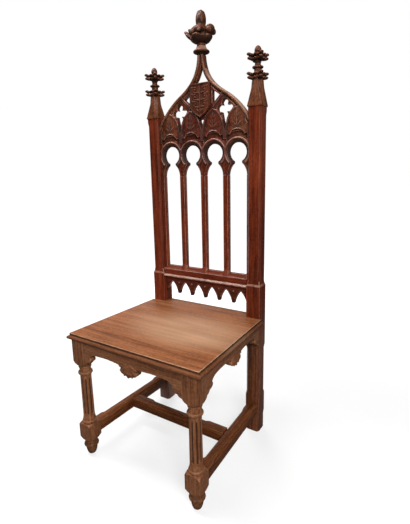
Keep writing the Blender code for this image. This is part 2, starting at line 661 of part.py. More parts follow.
def make_side_aprons(wood):
    outline = apron_outline(LEG_BACK_Y + FIT, POST_FRONT_Y - FIT)
    for name, side in SIDES:
        bm = pierced_board([(-APRON_THICKNESS / 2, [outline]), (APRON_THICKNESS / 2, [outline])])
        for vert in bm.verts:
            along, across, height = vert.co
            vert.co = (side * (side_apron_x(along) + across), along, height)
        apron = add_piece(f"side_apron_{name}", bm, wood)
        combine(apron, "UNION", boxes(*side_joints(side, side_apron_x, APRON_TENON_Z)))


def make_rear_apron(wood):
    end = POST_INNER_X - FIT
    near, far = REAR_APRON_Y - REAR_APRON_THICKNESS / 2, REAR_APRON_Y + REAR_APRON_THICKNESS / 2
    bm = boxes(((-end, near, RAIL_TOP - REAR_APRON_HEIGHT), (end, far, RAIL_TOP)))
    apron = add_piece("rear_apron", bm, wood)
    combine(apron, "UNION", boxes(*[rear_apron_tenon(side) for _, side in SIDES]))


# Stretchers
def stretcher_section(width, chamfer):
    """Across and up: a bar with its two upper edges cut off."""
    a = width / 2
    low, high = STRETCHER_BOTTOM, STRETCHER_TOP
    return [(-a, low), (a, low), (a, high - chamfer), (a - chamfer, high),
            (chamfer - a, high), (-a, high - chamfer)]


def bar_along(low, high, width, square_end):
    """Sections along a bar: square ends and stop-chamfered upper edges between them."""
    return [(low, stretcher_section(width, ARRIS)), (low + square_end, stretcher_section(width, ARRIS)),
            (low + square_end + CHAMFER_STOP, stretcher_section(width, STRETCHER_CHAMFER)),
            (high - square_end - CHAMFER_STOP, stretcher_section(width, STRETCHER_CHAMFER)),
            (high - square_end, stretcher_section(width, ARRIS)), (high, stretcher_section(width, ARRIS))]


def cross_face_x(y):
    return stretcher_x(y) - STRETCHER_WIDTH / 2


def cross_tenon(side):
    y = CROSS_STRETCHER_Y
    return rail_tenon_x(side, cross_face_x(y), y, *STRETCHER_TENON_Z, TENON_LENGTH / 2)


def make_side_stretchers(wood):
    stations = bar_along(LEG_BACK_Y + FIT, POST_FRONT_Y - FIT, STRETCHER_WIDTH, STRETCHER_SQUARE_END)
    for name, side in SIDES:
        rings = []
        for y, section in stations:
            rings.append([(side * (stretcher_x(y) + across), y, z) for across, z in section])
        bar = add_piece(f"side_stretcher_{name}", loft(rings), wood)
        combine(bar, "UNION", boxes(*side_joints(side, stretcher_x, STRETCHER_TENON_Z)))
        combine(bar, "DIFFERENCE", boxes(grown(cross_tenon(side))))


def make_cross_stretcher(wood):
    rings = []
    reach = cross_face_x(CROSS_STRETCHER_Y) - FIT
    for x, section in bar_along(-reach, reach, CROSS_STRETCHER_WIDTH, CROSS_STRETCHER_SQUARE_END):
        ring = []
        for across, z in section:
            y = CROSS_STRETCHER_Y + across
            ring.append((x / reach * (cross_face_x(y) - FIT), y, z))
        rings.append(ring)
    bar = add_piece("cross_stretcher", loft(rings), wood)
    combine(bar, "UNION", boxes(*[cross_tenon(side) for _, side in SIDES]))


# Corner blocks under the seat
def make_corner_blocks(wood):
    front_y = FRONT_APRON_Y + APRON_THICKNESS / 2 + FIT
    rear_y = REAR_APRON_Y - REAR_APRON_THICKNESS / 2 - FIT
    half = APRON_THICKNESS / 2 + FIT
    corners = (("front", LEG_INNER_X - FIT, LEG_BACK_Y + FIT, front_y, 1),
               ("rear", POST_INNER_X - FIT, POST_FRONT_Y - FIT, rear_y, -1))
    for end, post_x, post_y, rail_y, inward in corners:
        for name, side in SIDES:
            far_y = post_y + inward * CORNER_BLOCK_REACH
            outline = [(post_x - CORNER_BLOCK_REACH, rail_y), (post_x, rail_y), (post_x, post_y),
                       (side_apron_x(post_y) - half, post_y), (side_apron_x(far_y) - half, far_y)]
            heights = (RAIL_TOP - CORNER_BLOCK_HEIGHT, RAIL_TOP)
            rings = [[(side * x, y, z) for x, y in outline] for z in heights]
            add_piece(f"corner_block_{end}_{name}", loft(rings), wood)


# Lower rail of the back
def mullion_section(grow=0.0):
    """Plan of a mullion: a narrow nose on the face, sloping sides, an eased back."""
    half = MULLION_WIDTH / 2 + grow
    front_y, shoulder_y, back_y = PANEL_FRONT_Y - grow, PANEL_FRONT_Y + SPLAY_DEPTH, PANEL_BACK_Y + grow
    right = [(half - SPLAY, front_y), (half, shoulder_y), (half - BACK_EASE, back_y)]
    return right + [(-x, y) for x, y in reversed(right)]


def half_mullion_section(side, grow=0.0):
    """Plan of the half mullion that stands against a post."""
    post = UPPER_INNER_X - FIT
    half = post - MULLION_WIDTH / 2 - grow
    front_y, shoulder_y, back_y = PANEL_FRONT_Y - grow, PANEL_FRONT_Y + SPLAY_DEPTH, PANEL_BACK_Y + grow
    outline = [(post + grow, front_y), (half + SPLAY, front_y), (half, shoulder_y),
               (half + BACK_EASE, back_y), (post + grow, back_y)]
    return [(side * x, y) for x, y in outline]


def add_upright(bm, section, low, high, offset=0.0):
    loops = [closed_loop(bm, [(x + offset, y, z) for x, y in section]) for z in (low, high)]
    bmesh.ops.bridge_loops(bm, edges=loops[0] + loops[1])
    for loop in loops:
        bmesh.ops.edgeloop_fill(bm, edges=loop)


def mullion_places():
    return [("left", -BAY), ("centre", 0.0), ("right", BAY)]


def sill_profile():
    slope_y, top = PANEL_FRONT_Y + SPLAY_DEPTH, SILL_EDGE_Z + SILL_SLOPE_RISE
    return [(SILL_FRONT_Y, SILL_BOTTOM), (SILL_BACK_Y, SILL_BOTTOM), (SILL_BACK_Y, top),
            (slope_y, top), (SILL_FRONT_Y, SILL_EDGE_Z)]


def make_sill(wood):
    end = POST_INNER_X - FIT
    rings = [[(x, y, z) for y, z in sill_profile()] for x in (-end, end)]
    sill = add_piece("back_sill_rail", loft(rings), wood)
    combine(sill, "UNION", boxes(*[sill_tenon(side) for _, side in SIDES]))
    low, high = MULLION_FOOT_Z - FIT, SILL_EDGE_Z + 2 * SILL_SLOPE_RISE
    sockets = bmesh.new()
    for _, offset in mullion_places():
        add_upright(sockets, mullion_section(FIT), low, high, offset)
    for _, side in SIDES:
        add_upright(sockets, half_mullion_section(side, FIT), low, high)
    combine(sill, "DIFFERENCE", sockets)


def make_bead(wood):
    radius = BEAD_HEIGHT / 2
    middle = SILL_BOTTOM + radius
    back_y = SILL_FRONT_Y - FIT
    section = arc((back_y, middle), radius, pi / 2, 3 * pi / 2, 8)
    end = POST_INNER_X - FIT
    add_piece("sill_bead", loft([[(x, y, z) for y, z in section] for x in (-end, end)]), wood)


def make_arcade(wood):
    housed = POST_INNER_X + ARCADE_HOUSING
    pitch = 2 * POST_INNER_X / ARCADE_BAYS
    low, apex = ARCADE_BOTTOM, ARCADE_BOTTOM + ARCADE_ARCH_RISE
    tip = PENDANT_TIP_HALF
    outline = [(-housed, low)]
    for bay in range(ARCADE_BAYS):
        left, middle, right = [pitch * (bay + share) - POST_INNER_X for share in (0.0, 0.5, 1.0)]
        outline += bulge((left + tip, low), (middle, apex), -ARCADE_ARCH_BEND, 4)
        outline += bulge((middle, apex), (right - tip, low), -ARCADE_ARCH_BEND, 4)
        outline.append((right - tip, low))
    outline += [(housed, low), (housed, SILL_BOTTOM - FIT), (-housed, SILL_BOTTOM - FIT)]
    far = PANEL_FRONT_Y + ARCADE_THICKNESS
    add_piece("pendant_arcade", pierced_board([(PANEL_FRONT_Y, [outline]), (far, [outline])]), wood)


# Mullions
def stub(offset):
    middle_y = (PANEL_FRONT_Y + SPLAY_DEPTH + PANEL_BACK_Y) / 2
    half = STUB_WIDTH / 2
    low, high = HEAD_BOTTOM - FIT - OVERLAP, HEAD_BOTTOM + STUB_LENGTH
    return ((offset - half, middle_y - half, low), (offset + half, middle_y + half, high))


def make_mullions(wood):
    for name, offset in mullion_places():
        bm = bmesh.new()
        add_upright(bm, mullion_section(), MULLION_FOOT_Z, HEAD_BOTTOM - FIT, offset)
        bar = add_piece(f"mullion_{name}", bm, wood)
        combine(bar, "UNION", boxes(stub(offset)))
    for name, side in SIDES:
        bm = bmesh.new()
        add_upright(bm, half_mullion_section(side), MULLION_FOOT_Z, HEAD_BOTTOM - FIT)
        add_piece(f"half_mullion_{name}", bm, wood)


# Ogee arch
def ogee_path(extra_foot):
    """Outer edge of the right limb, from its foot upwards, as points and directions."""
    foot = Vector((UPPER_INNER_X, HEAD_BOTTOM + OGEE_FOOT_RISE))
    turn = Vector((UPPER_INNER_X - OGEE_TURN_INSET, HEAD_BOTTOM + OGEE_TURN_RISE))
    top = Vector((OGEE_STEM_HALF, OGEE_TOP_Z))
    below, above = turn - Vector(OGEE_TURN_PULL), turn + Vector(OGEE_TURN_PULL_ABOVE)
    lower = interpolate_bezier(foot, foot + Vector(OGEE_FOOT_PULL), below, turn, 10)
    upper = interpolate_bezier(turn, above, top + Vector(OGEE_TOP_PULL), top, 12)
    points = [point.to_2d() for point in lower[:-1] + upper]
    points.insert(0, foot + (points[0] - points[1]).normalized() * extra_foot)
    path = []
    for k, point in enumerate(points):
        before, after = points[max(k - 1, 0)], points[min(k + 1, len(points) - 1)]
        path.append((point, (after - before).normalized()))
    path[-1] = (points[-1], Vector((0.0, 1.0)))
    return path


def ogee_inner_edge(offset):
    """The line that lies offset inside the outer edge."""
    return [point + Vector((-way.y, way.x)) * offset for point, way in ogee_path(2 * OGEE_THICKNESS)]


def ogee_section():
    """Inwards from the outer edge against depth: a roll on the face, a hollow, a square back."""
    thick, deep, roll = OGEE_THICKNESS, OGEE_DEPTH, OGEE_ROLL
    face = arc((roll, roll), roll, -pi, 0.0, 6)
    hollow = [(2 * roll + ARRIS, OGEE_HOLLOW), (thick - ARRIS, OGEE_HOLLOW), (thick, OGEE_EDGE)]
    return face + hollow + [(thick, deep), (0.0, deep)]


def clip(bm, point, normal):
    """Cut away what lies on the normal's side and close the cut."""
    everything = bm.verts[:] + bm.edges[:] + bm.faces[:]
    made = bmesh.ops.bisect_plane(bm, geom=everything, plane_co=point, plane_no=normal, clear_outer=True)
    edges = [item for item in made["geom_cut"] if isinstance(item, bmesh.types.BMEdge)]
    bmesh.ops.edgeloop_fill(bm, edges=edges)


def ogee_sweep(section):
    """The right limb: a section carried along the outer edge and stopped at the middle of the arch."""
    rings = []
    for point, way in ogee_path(2 * OGEE_THICKNESS):
        inward = Vector((-way.y, way.x))
        ring = [(point + inward * inset, OGEE_FRONT_Y + depth) for inset, depth in section]
        rings.append([(place.x, y, place.y) for place, y in ring])
    bm = loft(rings)
    clip(bm, (FIT / 2, 0, 0), (-1, 0, 0))
    return bm


def make_ogee(wood):
    for name, side in SIDES:
        bm = ogee_sweep(ogee_section())
        clip(bm, (UPPER_INNER_X - FIT, 0, 0), (1, 0, 0))
        bmesh.ops.scale(bm, vec=(side, 1, 1), verts=bm.verts)
        limb = add_piece(f"ogee_limb_{name}", bm, wood)
        combine(limb, "UNION", boxes(ogee_tenon(side)))
        combine(limb, "DIFFERENCE", spigot_bore(0.0, FINIAL_Y, OGEE_TOP_Z))


# Tracery head
def keyhole(centre_x, jamb_grow, eye_grow, cusp_setback, tip):
    """One lancet head, from the right springing over the round eye to the left springing."""
    radius = HOLE_RADIUS + eye_grow
    neck = NECK_HALF_WIDTH + cusp_setback
    half = BAY / 2 - MULLION_WIDTH / 2 + jamb_grow
    upper_z = EYE_Z - sqrt(radius * radius - neck * neck)
    lower_z = upper_z - tip
    rise = lower_z - HEAD_BOTTOM
    shoulder = ((half - neck) ** 2 + rise ** 2) / (2 * (half - neck))
    sweep = asin(rise / shoulder)
    right = arc((half - shoulder, HEAD_BOTTOM), shoulder, 0.0, sweep, 5)
    start = acos(neck / radius)
    eye = arc((0.0, EYE_Z), radius, -start, pi + start, 26)
    left = [(-x, z) for x, z in reversed(right)]
    return [(centre_x + x, z) for x, z in right + eye + left]


def bay_centre(bay):
    return (bay - (LANCETS - 1) / 2) * BAY


def head_top(inset):
    """Upper edge of the head board from left to right, under the arch."""
    post = UPPER_INNER_X - FIT - inset
    top = HEAD_BOTTOM + HEAD_TOP_RISE - inset
    edge = ogee_inner_edge(OGEE_THICKNESS + FIT + inset)
    run = [edge[0]]
    for before, after in zip(edge, edge[1:]):
        if before.x > post >= after.x:
            run = [before.lerp(after, (before.x - post) / (before.x - after.x))]
        if after.x < post and after.y < top:
            run.append(after)
        if before.y < top <= after.y:
            run.append(before.lerp(after, (top - before.y) / (after.y - before.y)))
    right = [(point.x, point.y) for point in run]
    return [(-x, z) for x, z in right] + list(reversed(right))


def head_outline(*keyhole_sizes):
    """The head board: keyholes cut up from below, the arch's inner edge above."""
    post = UPPER_INNER_X - FIT
    outline = [(post, HEAD_BOTTOM)]
    for bay in reversed(range(LANCETS)):
        outline += keyhole(bay_centre(bay), *keyhole_sizes)
    return outline + [(-post, HEAD_BOTTOM)] + head_top(0.0)


def about(points, centre, ratio):
    return [(centre[0] + (x - centre[0]) * ratio, centre[1] + (z - centre[1]) * ratio) for x, z in points]


def triple_hole(centre_x, ratio):
    """Three round lobes over a pointed tail."""
    root, lobe = TRIPLE_LOBE_ROOT, TRIPLE_LOBE_REACH - TRIPLE_LOBE_ROOT
    waist, tip = TRIPLE_TAIL_WAIST, (0.0, -TRIPLE_TAIL)
    corners = [tip, (waist, -TRIPLE_TAIL / 2), (root, -root), (root, root),
               (-root, root), (-root, -root), (-waist, -TRIPLE_TAIL / 2), tip]
    shape = scalloped(corners, (0.0, 0.0, lobe, lobe, lobe, 0.0, 0.0))[:-1]
    centre = (centre_x, HEAD_BOTTOM + TRIPLE_HOLE_RISE)
    return about([(centre[0] + x, centre[1] + z) for x, z in shape], centre, ratio)


def side_hole(side, ratio):
    """The three-cornered piercing between the shield, the arch and the sloping bar."""
    inner, low = SHIELD_WIDTH / 2 + SIDE_HOLE_MARGIN, HEAD_BOTTOM + SIDE_HOLE_RISE
    outer_corner = (inner + SIDE_HOLE_REACH, low + SIDE_HOLE_CORNER)
    corners = [(inner, low), outer_corner, (inner, low + SIDE_HOLE_HEIGHT)]
    centre = (sum(x for x, _ in corners) / 3, sum(z for _, z in corners) / 3)
    return [(side * x, z) for x, z in about(corners, centre, ratio)]


def drop_hole(ratio):
    centre = (0.0, HEAD_BOTTOM + DROP_HOLE_RISE)
    return about(arc(centre, DROP_HOLE_RADIUS, 0.0, 2 * pi, 10)[:-1], centre, ratio)


def head_holes(ratio):
    holes = [drop_hole(ratio)]
    for _, side in SIDES:
        holes += [triple_hole(side * BAY, ratio), side_hole(side, ratio)]
    return holes


def gablet_edge(inset):
    """Half of a pointed arch, from its springing to its point."""
    half = BAY / 2 - ARRIS
    radius = (half * half + GABLET_RISE * GABLET_RISE) / (2 * half) - inset
    centre = (half - inset - radius, EYE_Z + GABLET_SPRING)
    return arc(centre, radius, 0.0, acos(-centre[0] / radius), 8)


def gablet_rib(centre_x):
    """The raised band of one pointed gablet."""
    edges = (gablet_edge(0.0), gablet_edge(GABLET_RIB))
    outer, inner = [[(edge[0][0], edge[0][1] - GABLET_LEG)] + edge for edge in edges]
    outline = outer + [(-x, z) for x, z in reversed(outer[:-1])]
    outline += [(-x, z) for x, z in inner] + list(reversed(inner[:-1]))
    return [(centre_x + x, z) for x, z in outline]


def gablet_field():
    """The part of the head that the gablets may cover: below the arch and between the posts."""
    edge = head_top(2 * FIT)
    return [(edge[-1][0], EYE_Z), (edge[0][0], EYE_Z)] + edge


def prism(outlines, front, back):
    """Separate flat shapes of the same thickness in one mesh."""
    bm = bmesh.new()
    for outline in outlines:
        loops = [closed_loop(bm, [(x, y, z) for x, z in outline]) for y in (front, back)]
        bmesh.ops.bridge_loops(bm, edges=loops[0] + loops[1])
        for loop in loops:
            bmesh.ops.triangle_fill(bm, use_beauty=True, edges=loop)
    return bm


def make_tracery_head(wood):
    face = [head_outline(SPLAY, EYE_SPLAY, CUSP_SETBACK, CUSP_TIP_FACE)] + head_holes(SPANDREL_SPLAY)
    middle = [head_outline(0.0, 0.0, 0.0, CUSP_TIP)] + head_holes(1.0)
    back = [head_outline(BACK_EASE, BACK_EASE, BACK_EASE, CUSP_TIP_BACK)] + head_holes(SPANDREL_BACK)
    levels = [(PANEL_FRONT_Y, face), (PANEL_FRONT_Y + SPLAY_DEPTH, middle), (PANEL_BACK_Y, back)]
    head = add_piece("tracery_head", pierced_board(levels), wood)
    combine(head, "UNION", boxes(*[head_tenon(side) for _, side in SIDES]))
    combine(head, "DIFFERENCE", boxes(*[grown(stub(offset)) for _, offset in mullion_places()]))
    front, back = PANEL_FRONT_Y - GABLET_RELIEF, PANEL_FRONT_Y + SPANDREL_SPLAY_DEPTH
    ribs = prism([gablet_rib(bay_centre(bay)) for bay in range(LANCETS)], front, back)
    relief = combine(head, "UNION", ribs)
    combine(relief, "INTERSECT", prism([gablet_field()], front - GABLET_RELIEF, back + GABLET_RELIEF))


# Shield
def shield_outline(inset):
    half = SHIELD_WIDTH / 2 - inset
    top = HEAD_BOTTOM + HEAD_TOP_RISE + SHIELD_ABOVE_HEAD
    bend = (half, top - SHIELD_STRAIGHT)
    point = (0.0, top - SHIELD_HEIGHT + inset)
    right = bulge(point, bend, SHIELD_FLANK, 6) + [bend, (half, top - inset)]
    return right + [(-x, z) for x, z in reversed(right[1:])]


def make_shield(wood):
    back = PANEL_FRONT_Y - FIT
    front = back - SHIELD_THICKNESS
    rings = [(back, 0.0), (front + SHIELD_SINK, 0.0), (front, SHIELD_SINK / 2), (front, SHIELD_BORDER),
             (front + SHIELD_SINK, SHIELD_BORDER + SHIELD_SINK / 2)]
    rings = [[(x, y, z) for x, z in shield_outline(inset)] for y, inset in rings]
    shield = add_piece("shield", loft(rings), wood)
    thick, deep = OGEE_THICKNESS + FIT, OGEE_DEPTH + FIT
    for _, side in SIDES:
        rebate = ogee_sweep([(-FIT, -FIT), (thick, -FIT), (thick, deep), (-FIT, deep)])
        bmesh.ops.scale(rebate, vec=(side, 1, 1), verts=rebate.verts)
        combine(shield, "DIFFERENCE", rebate)


# Finials and pinnacles
def make_finial(wood):
    centre = (0.0, FINIAL_Y)
    base = OGEE_TOP_Z + FIT
    abacus_z = base + ABACUS_HEIGHT
    neck_z = abacus_z + FINIAL_NECK_HEIGHT
    leaf_z = neck_z + FOLIAGE_HEIGHT
    plain = [(OGEE_TOP_Z - SPIGOT_LENGTH, SPIGOT_RADIUS), (base, SPIGOT_RADIUS), (base, FINIAL_FOOT_RADIUS),
             (base + ABACUS_HEIGHT / 2, ABACUS_RADIUS), (abacus_z - 4 * ARRIS, ABACUS_RADIUS),
             (abacus_z, ABACUS_TOP_RADIUS), ((abacus_z + neck_z) / 2, FINIAL_WAIST_RADIUS),
             (neck_z, FINIAL_NECK_RADIUS)]
    rings = [round_ring(centre, z, radius) for z, radius in plain]
    rings += leaf_rings(centre, neck_z, FOLIAGE_HEIGHT, FOLIAGE_SWELL, FOLIAGE_CORE, FOLIAGE_REACH, pi / 4)
    rings += bud_rings(centre, leaf_z, BUD_HEIGHT, BUD_SWELL, BUD_RADIUS)
    add_piece("centre_finial", loft(rings), wood, SMOOTH_ANGLE)


def make_pinnacles(wood):
    for name, side in SIDES:
        centre = (side * POST_CENTRE_X, POST_CENTRE_Y)
        base = POST_HEIGHT + FIT
        top = base + SPIRE_HEIGHT
        rings = [turned_ring(centre, POST_HEIGHT - SPIGOT_LENGTH, "round", SPIGOT_RADIUS),
                 turned_ring(centre, base, "round", SPIGOT_RADIUS),
                 turned_ring(centre, base, "square", EAVE_WIDTH / 2),
                 turned_ring(centre, base + EAVE_HEIGHT, "square", EAVE_WIDTH / 2),
                 turned_ring(centre, base + SPIRE_SHOULDER, "octagon", SPIRE_SHOULDER_RADIUS),
                 turned_ring(centre, top, "octagon", SPIRE_RADIUS)]
        spire = add_piece(f"pinnacle_{name}", loft(rings), wood)
        combine(spire, "DIFFERENCE", spigot_bore(*centre, top))


def make_pinnacle_finials(wood):
    base = POST_HEIGHT + 2 * FIT + SPIRE_HEIGHT
    collar = base + LEAF_COLLAR_HEIGHT
    ring_z = collar + STEM_HEIGHT
    neck = ring_z + STEM_RING_HEIGHT
    cross = neck + TIP_NECK_HEIGHT
    tip = cross + TIP_CROSS_HEIGHT
    for name, side in SIDES:
        centre = (side * POST_CENTRE_X, POST_CENTRE_Y)
        foot = [(base - SPIGOT_LENGTH, SPIGOT_RADIUS), (base, SPIGOT_RADIUS), (base, COLLAR_FOOT_RADIUS)]
        stem = [(collar + ARRIS, STEM_RADIUS), (ring_z, STEM_RADIUS),
                (ring_z + STEM_RING_HEIGHT / 3, STEM_RING_RADIUS),
                (neck - STEM_RING_HEIGHT / 3, STEM_RING_RADIUS), (neck, TIP_NECK_RADIUS),
                (cross, TIP_NECK_RADIUS)]
        rings = [round_ring(centre, z, radius) for z, radius in foot]
        rings += leaf_rings(centre, base, LEAF_COLLAR_HEIGHT, COLLAR_SWELL, SPIRE_RADIUS, LEAF_REACH)
        rings += [round_ring(centre, z, radius) for z, radius in stem]
        rings += leaf_rings(centre, cross, TIP_CROSS_HEIGHT, TIP_SWELL, STEM_RADIUS, LEAF_REACH)
        rings += bud_rings(centre, tip, TIP_BUD_HEIGHT, TIP_BUD_SWELL, TIP_BUD_RADIUS)
        add_piece(f"pinnacle_finial_{name}", loft(rings), wood, SMOOTH_ANGLE)


def main():
    clear_scene()
    seat_wood = make_material("seat_wood", (0.376, 0.141, 0.061), 0.38)
    frame_wood = make_material("frame_wood", (0.156, 0.071, 0.032), 0.42)
    back_wood = make_material("back_wood", (0.114, 0.026, 0.010), 0.40)
    block_wood = make_material("block_wood", (0.33, 0.19, 0.09), 0.75)
    make_seat(seat_wood)
    make_front_legs(frame_wood)
    make_rear_posts(back_wood)
    make_front_apron(frame_wood)
    make_side_aprons(frame_wood)
    make_rear_apron(frame_wood)
    make_side_stretchers(frame_wood)
    make_cross_stretcher(frame_wood)
    make_corner_blocks(block_wood)
    make_sill(back_wood)
    make_bead(back_wood)
    make_arcade(back_wood)
    make_mullions(back_wood)
    make_ogee(back_wood)
    make_tracery_head(back_wood)
    make_shield(back_wood)
    make_finial(back_wood)
    make_pinnacles(back_wood)
    make_pinnacle_finials(back_wood)


main()
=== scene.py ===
# %% [markdown]
# # A carved church chair
# The joiner's work on this chair is done before this lesson starts: every rail, post and mullion is loaded
# as a fixed frame, at its real size. What is left is the carver's and the polisher's work. We round the
# worn edges, turn the front legs, carve the leaves, and give all of it an old satin varnish.

# %% Load the joined frame
import json
from math import cos, pi, radians, sin

import bmesh
import bpy
from mathutils import Matrix, Vector


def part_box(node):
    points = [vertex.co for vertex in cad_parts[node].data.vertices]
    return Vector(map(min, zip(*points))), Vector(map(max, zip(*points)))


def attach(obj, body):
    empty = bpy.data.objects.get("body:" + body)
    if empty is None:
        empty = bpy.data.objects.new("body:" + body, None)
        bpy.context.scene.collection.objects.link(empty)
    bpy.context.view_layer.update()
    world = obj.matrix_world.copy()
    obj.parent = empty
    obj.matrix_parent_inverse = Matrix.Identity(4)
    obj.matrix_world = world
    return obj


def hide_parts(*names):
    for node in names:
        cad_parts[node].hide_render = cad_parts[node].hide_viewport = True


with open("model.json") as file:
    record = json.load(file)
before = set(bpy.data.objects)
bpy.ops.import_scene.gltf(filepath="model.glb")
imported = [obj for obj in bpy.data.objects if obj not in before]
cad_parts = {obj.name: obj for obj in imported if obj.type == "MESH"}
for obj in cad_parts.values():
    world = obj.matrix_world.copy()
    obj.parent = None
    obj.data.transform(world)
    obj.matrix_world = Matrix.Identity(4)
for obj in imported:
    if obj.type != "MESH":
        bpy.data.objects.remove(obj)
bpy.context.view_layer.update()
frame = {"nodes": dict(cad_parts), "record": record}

nodes = frame["nodes"]
slot_of = {part["node"]: part["material_slot"] for part in frame["record"]["subparts"]}

# %% [markdown]
# ## Camera
# A camera could be placed by eye and nudged until the picture agrees. Here its place, turn and lens were
# worked out from the straight edges of the chair in its picture, so they are written down as they are.

# %% Camera
VIEW_PLACE = (0.7716, -1.0187, 0.9644)      # metres
VIEW_TURN = (78.5596, 1.0966, 32.3868)      # degrees about X, Y and Z
SENSOR_WIDTH = 36.0                         # millimetres
LENS = 26.0197                              # millimetres
FRAME_SHIFT = (0.003724, -0.014652)         # shares of the longer side
CHAIR_MIDDLE = (0.0, 0.0, 0.7)

camera = bpy.data.objects.new("camera", bpy.data.cameras.new("camera"))
camera.location = VIEW_PLACE
camera.rotation_euler = [radians(angle) for angle in VIEW_TURN]
camera.data.sensor_width = SENSOR_WIDTH
camera.data.lens = LENS
camera.data.shift_x, camera.data.shift_y = FRAME_SHIFT
bpy.context.scene.collection.objects.link(camera)
bpy.context.scene.camera = camera
bpy.context.scene.view_settings.view_transform = "Standard"
print("camera", round((camera.location - Vector(CHAIR_MIDDLE)).length, 2), "m from the middle of the chair")

# %% [markdown]
# ## Writing a material as sums
# A material is a web of nodes. Wiring each node by hand is long and hard to read, so one small class wraps a
# socket: adding or multiplying two wrapped sockets makes the Math node, and one method makes any other node.


# %% A socket that can be added and multiplied
def find_socket(sockets, name):
    """A socket by its identifier, which no other socket of the node has, or else by its name or number."""
    exact = [socket for socket in sockets if socket.identifier == name]
    return exact[0] if exact else sockets[name]


class Flow:
    """A socket of a material. Sums with it become Math nodes."""

    def __init__(self, tree, socket=None):
        self.tree, self.socket = tree, socket

    def node(self, kind, settings=None, inputs=None, output=0):
        """Make a node of any kind: first its settings, then the values or links of its sockets."""
        made = self.tree.nodes.new("ShaderNode" + kind)
        for name, value in (settings or {}).items():
            if name == "stops":
                ramp = made.color_ramp.elements
                while len(ramp) < len(value):
                    ramp.new(0.5)
                for element, (place, colour) in zip(ramp, value):
                    element.position, element.color = place, (*colour, 1.0)
            else:
                setattr(made, name, value)
        for name, value in (inputs or {}).items():
            socket = find_socket(made.inputs, name)
            if isinstance(value, Flow):
                self.tree.links.new(value.socket, socket)
            else:
                socket.default_value = value
        return Flow(self.tree, find_socket(made.outputs, output))

    def maths(self, operation, first, second):
        """Work out one value from two."""
        return self.node("Math", {"operation": operation}, {0: first, 1: second})

    def __add__(self, other):
        return self.maths("ADD", self, other)

    def __radd__(self, other):
        return self.maths("ADD", other, self)

    def __sub__(self, other):
        return self.maths("SUBTRACT", self, other)

    def __rsub__(self, other):
        return self.maths("SUBTRACT", other, self)

    def __mul__(self, other):
        return self.maths("MULTIPLY", self, other)

    def __rmul__(self, other):
        return self.maths("MULTIPLY", other, self)

    def between(self, low, high):
        """0 below low, 1 above high, and a soft step between them."""
        return self.node("MapRange", {"interpolation_type": "SMOOTHSTEP"},
                         {"Value": self, "From Min": low, "From Max": high})

    def into(self, node, socket):
        """Feed a socket of a shader."""
        self.tree.links.new(self.socket, node.inputs[socket])


def blend(share, first, second):
    """Mix two colours by a share from 0 to 1."""
    first, second = [tone if isinstance(tone, Flow) else (*tone, 1.0) for tone in (first, second)]
    inputs = {"Factor_Float": share, "A_Color": first, "B_Color": second}
    return share.node("Mix", {"data_type": "RGBA"}, inputs, "Result_Color")


def new_material(name):
    """A material, the start of its sums, and the shader they lead to."""
    material = bpy.data.materials.new(name)
    material.use_nodes = True
    return material, Flow(material.node_tree), material.node_tree.nodes["Principled BSDF"]


print("materials can now be written as sums")

# %% [markdown]
# ## Studio
# The chair stands on a plain pale floor in front of a bright backdrop. A long soft lamp hangs overhead, to
# the left: mouldings that run across the chair mirror it to us and get their bright lines from it. A square
# one lights the chair from the front right, and a weak one its back. The room in front of the chair is dim,
# and varnish mirrors the room, so it stays deep on the faces towards us. A lit floor would turn grey with
# distance, so it fades into a white glow; near the chair it still takes a shadow.

# %% Room
BACKDROP_WAY = (-0.54, 0.84, 0.0)       # from the chair to the middle of the backdrop
BACKDROP_EDGE = (0.78, 0.94)            # share of that way at which the backdrop ends and starts
DIM_ROOM = 0.10

world = bpy.data.worlds.new("room")
world.use_nodes = True
bpy.context.scene.world = world
room = Flow(world.node_tree)
looking = room.node("TexCoord")
facing = room.node("VectorMath", {"operation": "DOT_PRODUCT"}, {0: looking, 1: BACKDROP_WAY}, "Value")
camera_ray = room.node("LightPath", output="Is Camera Ray")
backdrop = camera_ray + (1 - camera_ray) * facing.between(*BACKDROP_EDGE)
brightness = DIM_ROOM + backdrop * (1 - DIM_ROOM)
brightness.into(world.node_tree.nodes["Background"], "Strength")
world.node_tree.nodes["Background"].inputs["Color"].default_value = (1.0, 1.0, 1.0, 1.0)
print("room: a bright backdrop, and", DIM_ROOM, "of its light from elsewhere")

# %% Floor
FLOOR_RADIUS = 30.0                     # metres
FLOOR_BOUNCE = 0.16                     # colour of the floor for bounced light
FLOOR_GLOW = 0.68                       # share of its white that doesn't depend on the lamps, near the chair
GLOW_REACH = (0.9, 2.6)                 # metres from the chair over which that grows to the whole

bm = bmesh.new()
bmesh.ops.create_circle(bm, cap_ends=True, segments=64, radius=FLOOR_RADIUS)
floor_mesh = bpy.data.meshes.new("floor")
bm.to_mesh(floor_mesh)
bm.free()
floor = bpy.data.objects.new("floor", floor_mesh)
bpy.context.scene.collection.objects.link(floor)
floor_paint, paint, shader = new_material("pale_floor")
place = paint.node("TexCoord", output="Object")
way = paint.node("VectorMath", {"operation": "NORMALIZE"}, {0: place})
behind = paint.node("VectorMath", {"operation": "DOT_PRODUCT"}, {0: way, 1: BACKDROP_WAY}, "Value")
glossy, through = [paint.node("LightPath", output=f"Is {kind} Ray") for kind in ("Glossy", "Transmission")]
seen = paint.node("LightPath", output="Is Camera Ray") + (glossy + through) * behind.between(*BACKDROP_EDGE)
distance = paint.node("VectorMath", {"operation": "LENGTH"}, {0: place}, "Value")
glow = seen * (FLOOR_GLOW + distance.between(*GLOW_REACH) * (1 - FLOOR_GLOW))
blend(seen, (FLOOR_BOUNCE,) * 3, (1 - FLOOR_GLOW,) * 3).into(shader, "Base Color")
blend(glow, (0.0,) * 3, (1.0,) * 3).into(shader, "Emission Color")
shader.inputs["Emission Strength"].default_value = 1.0
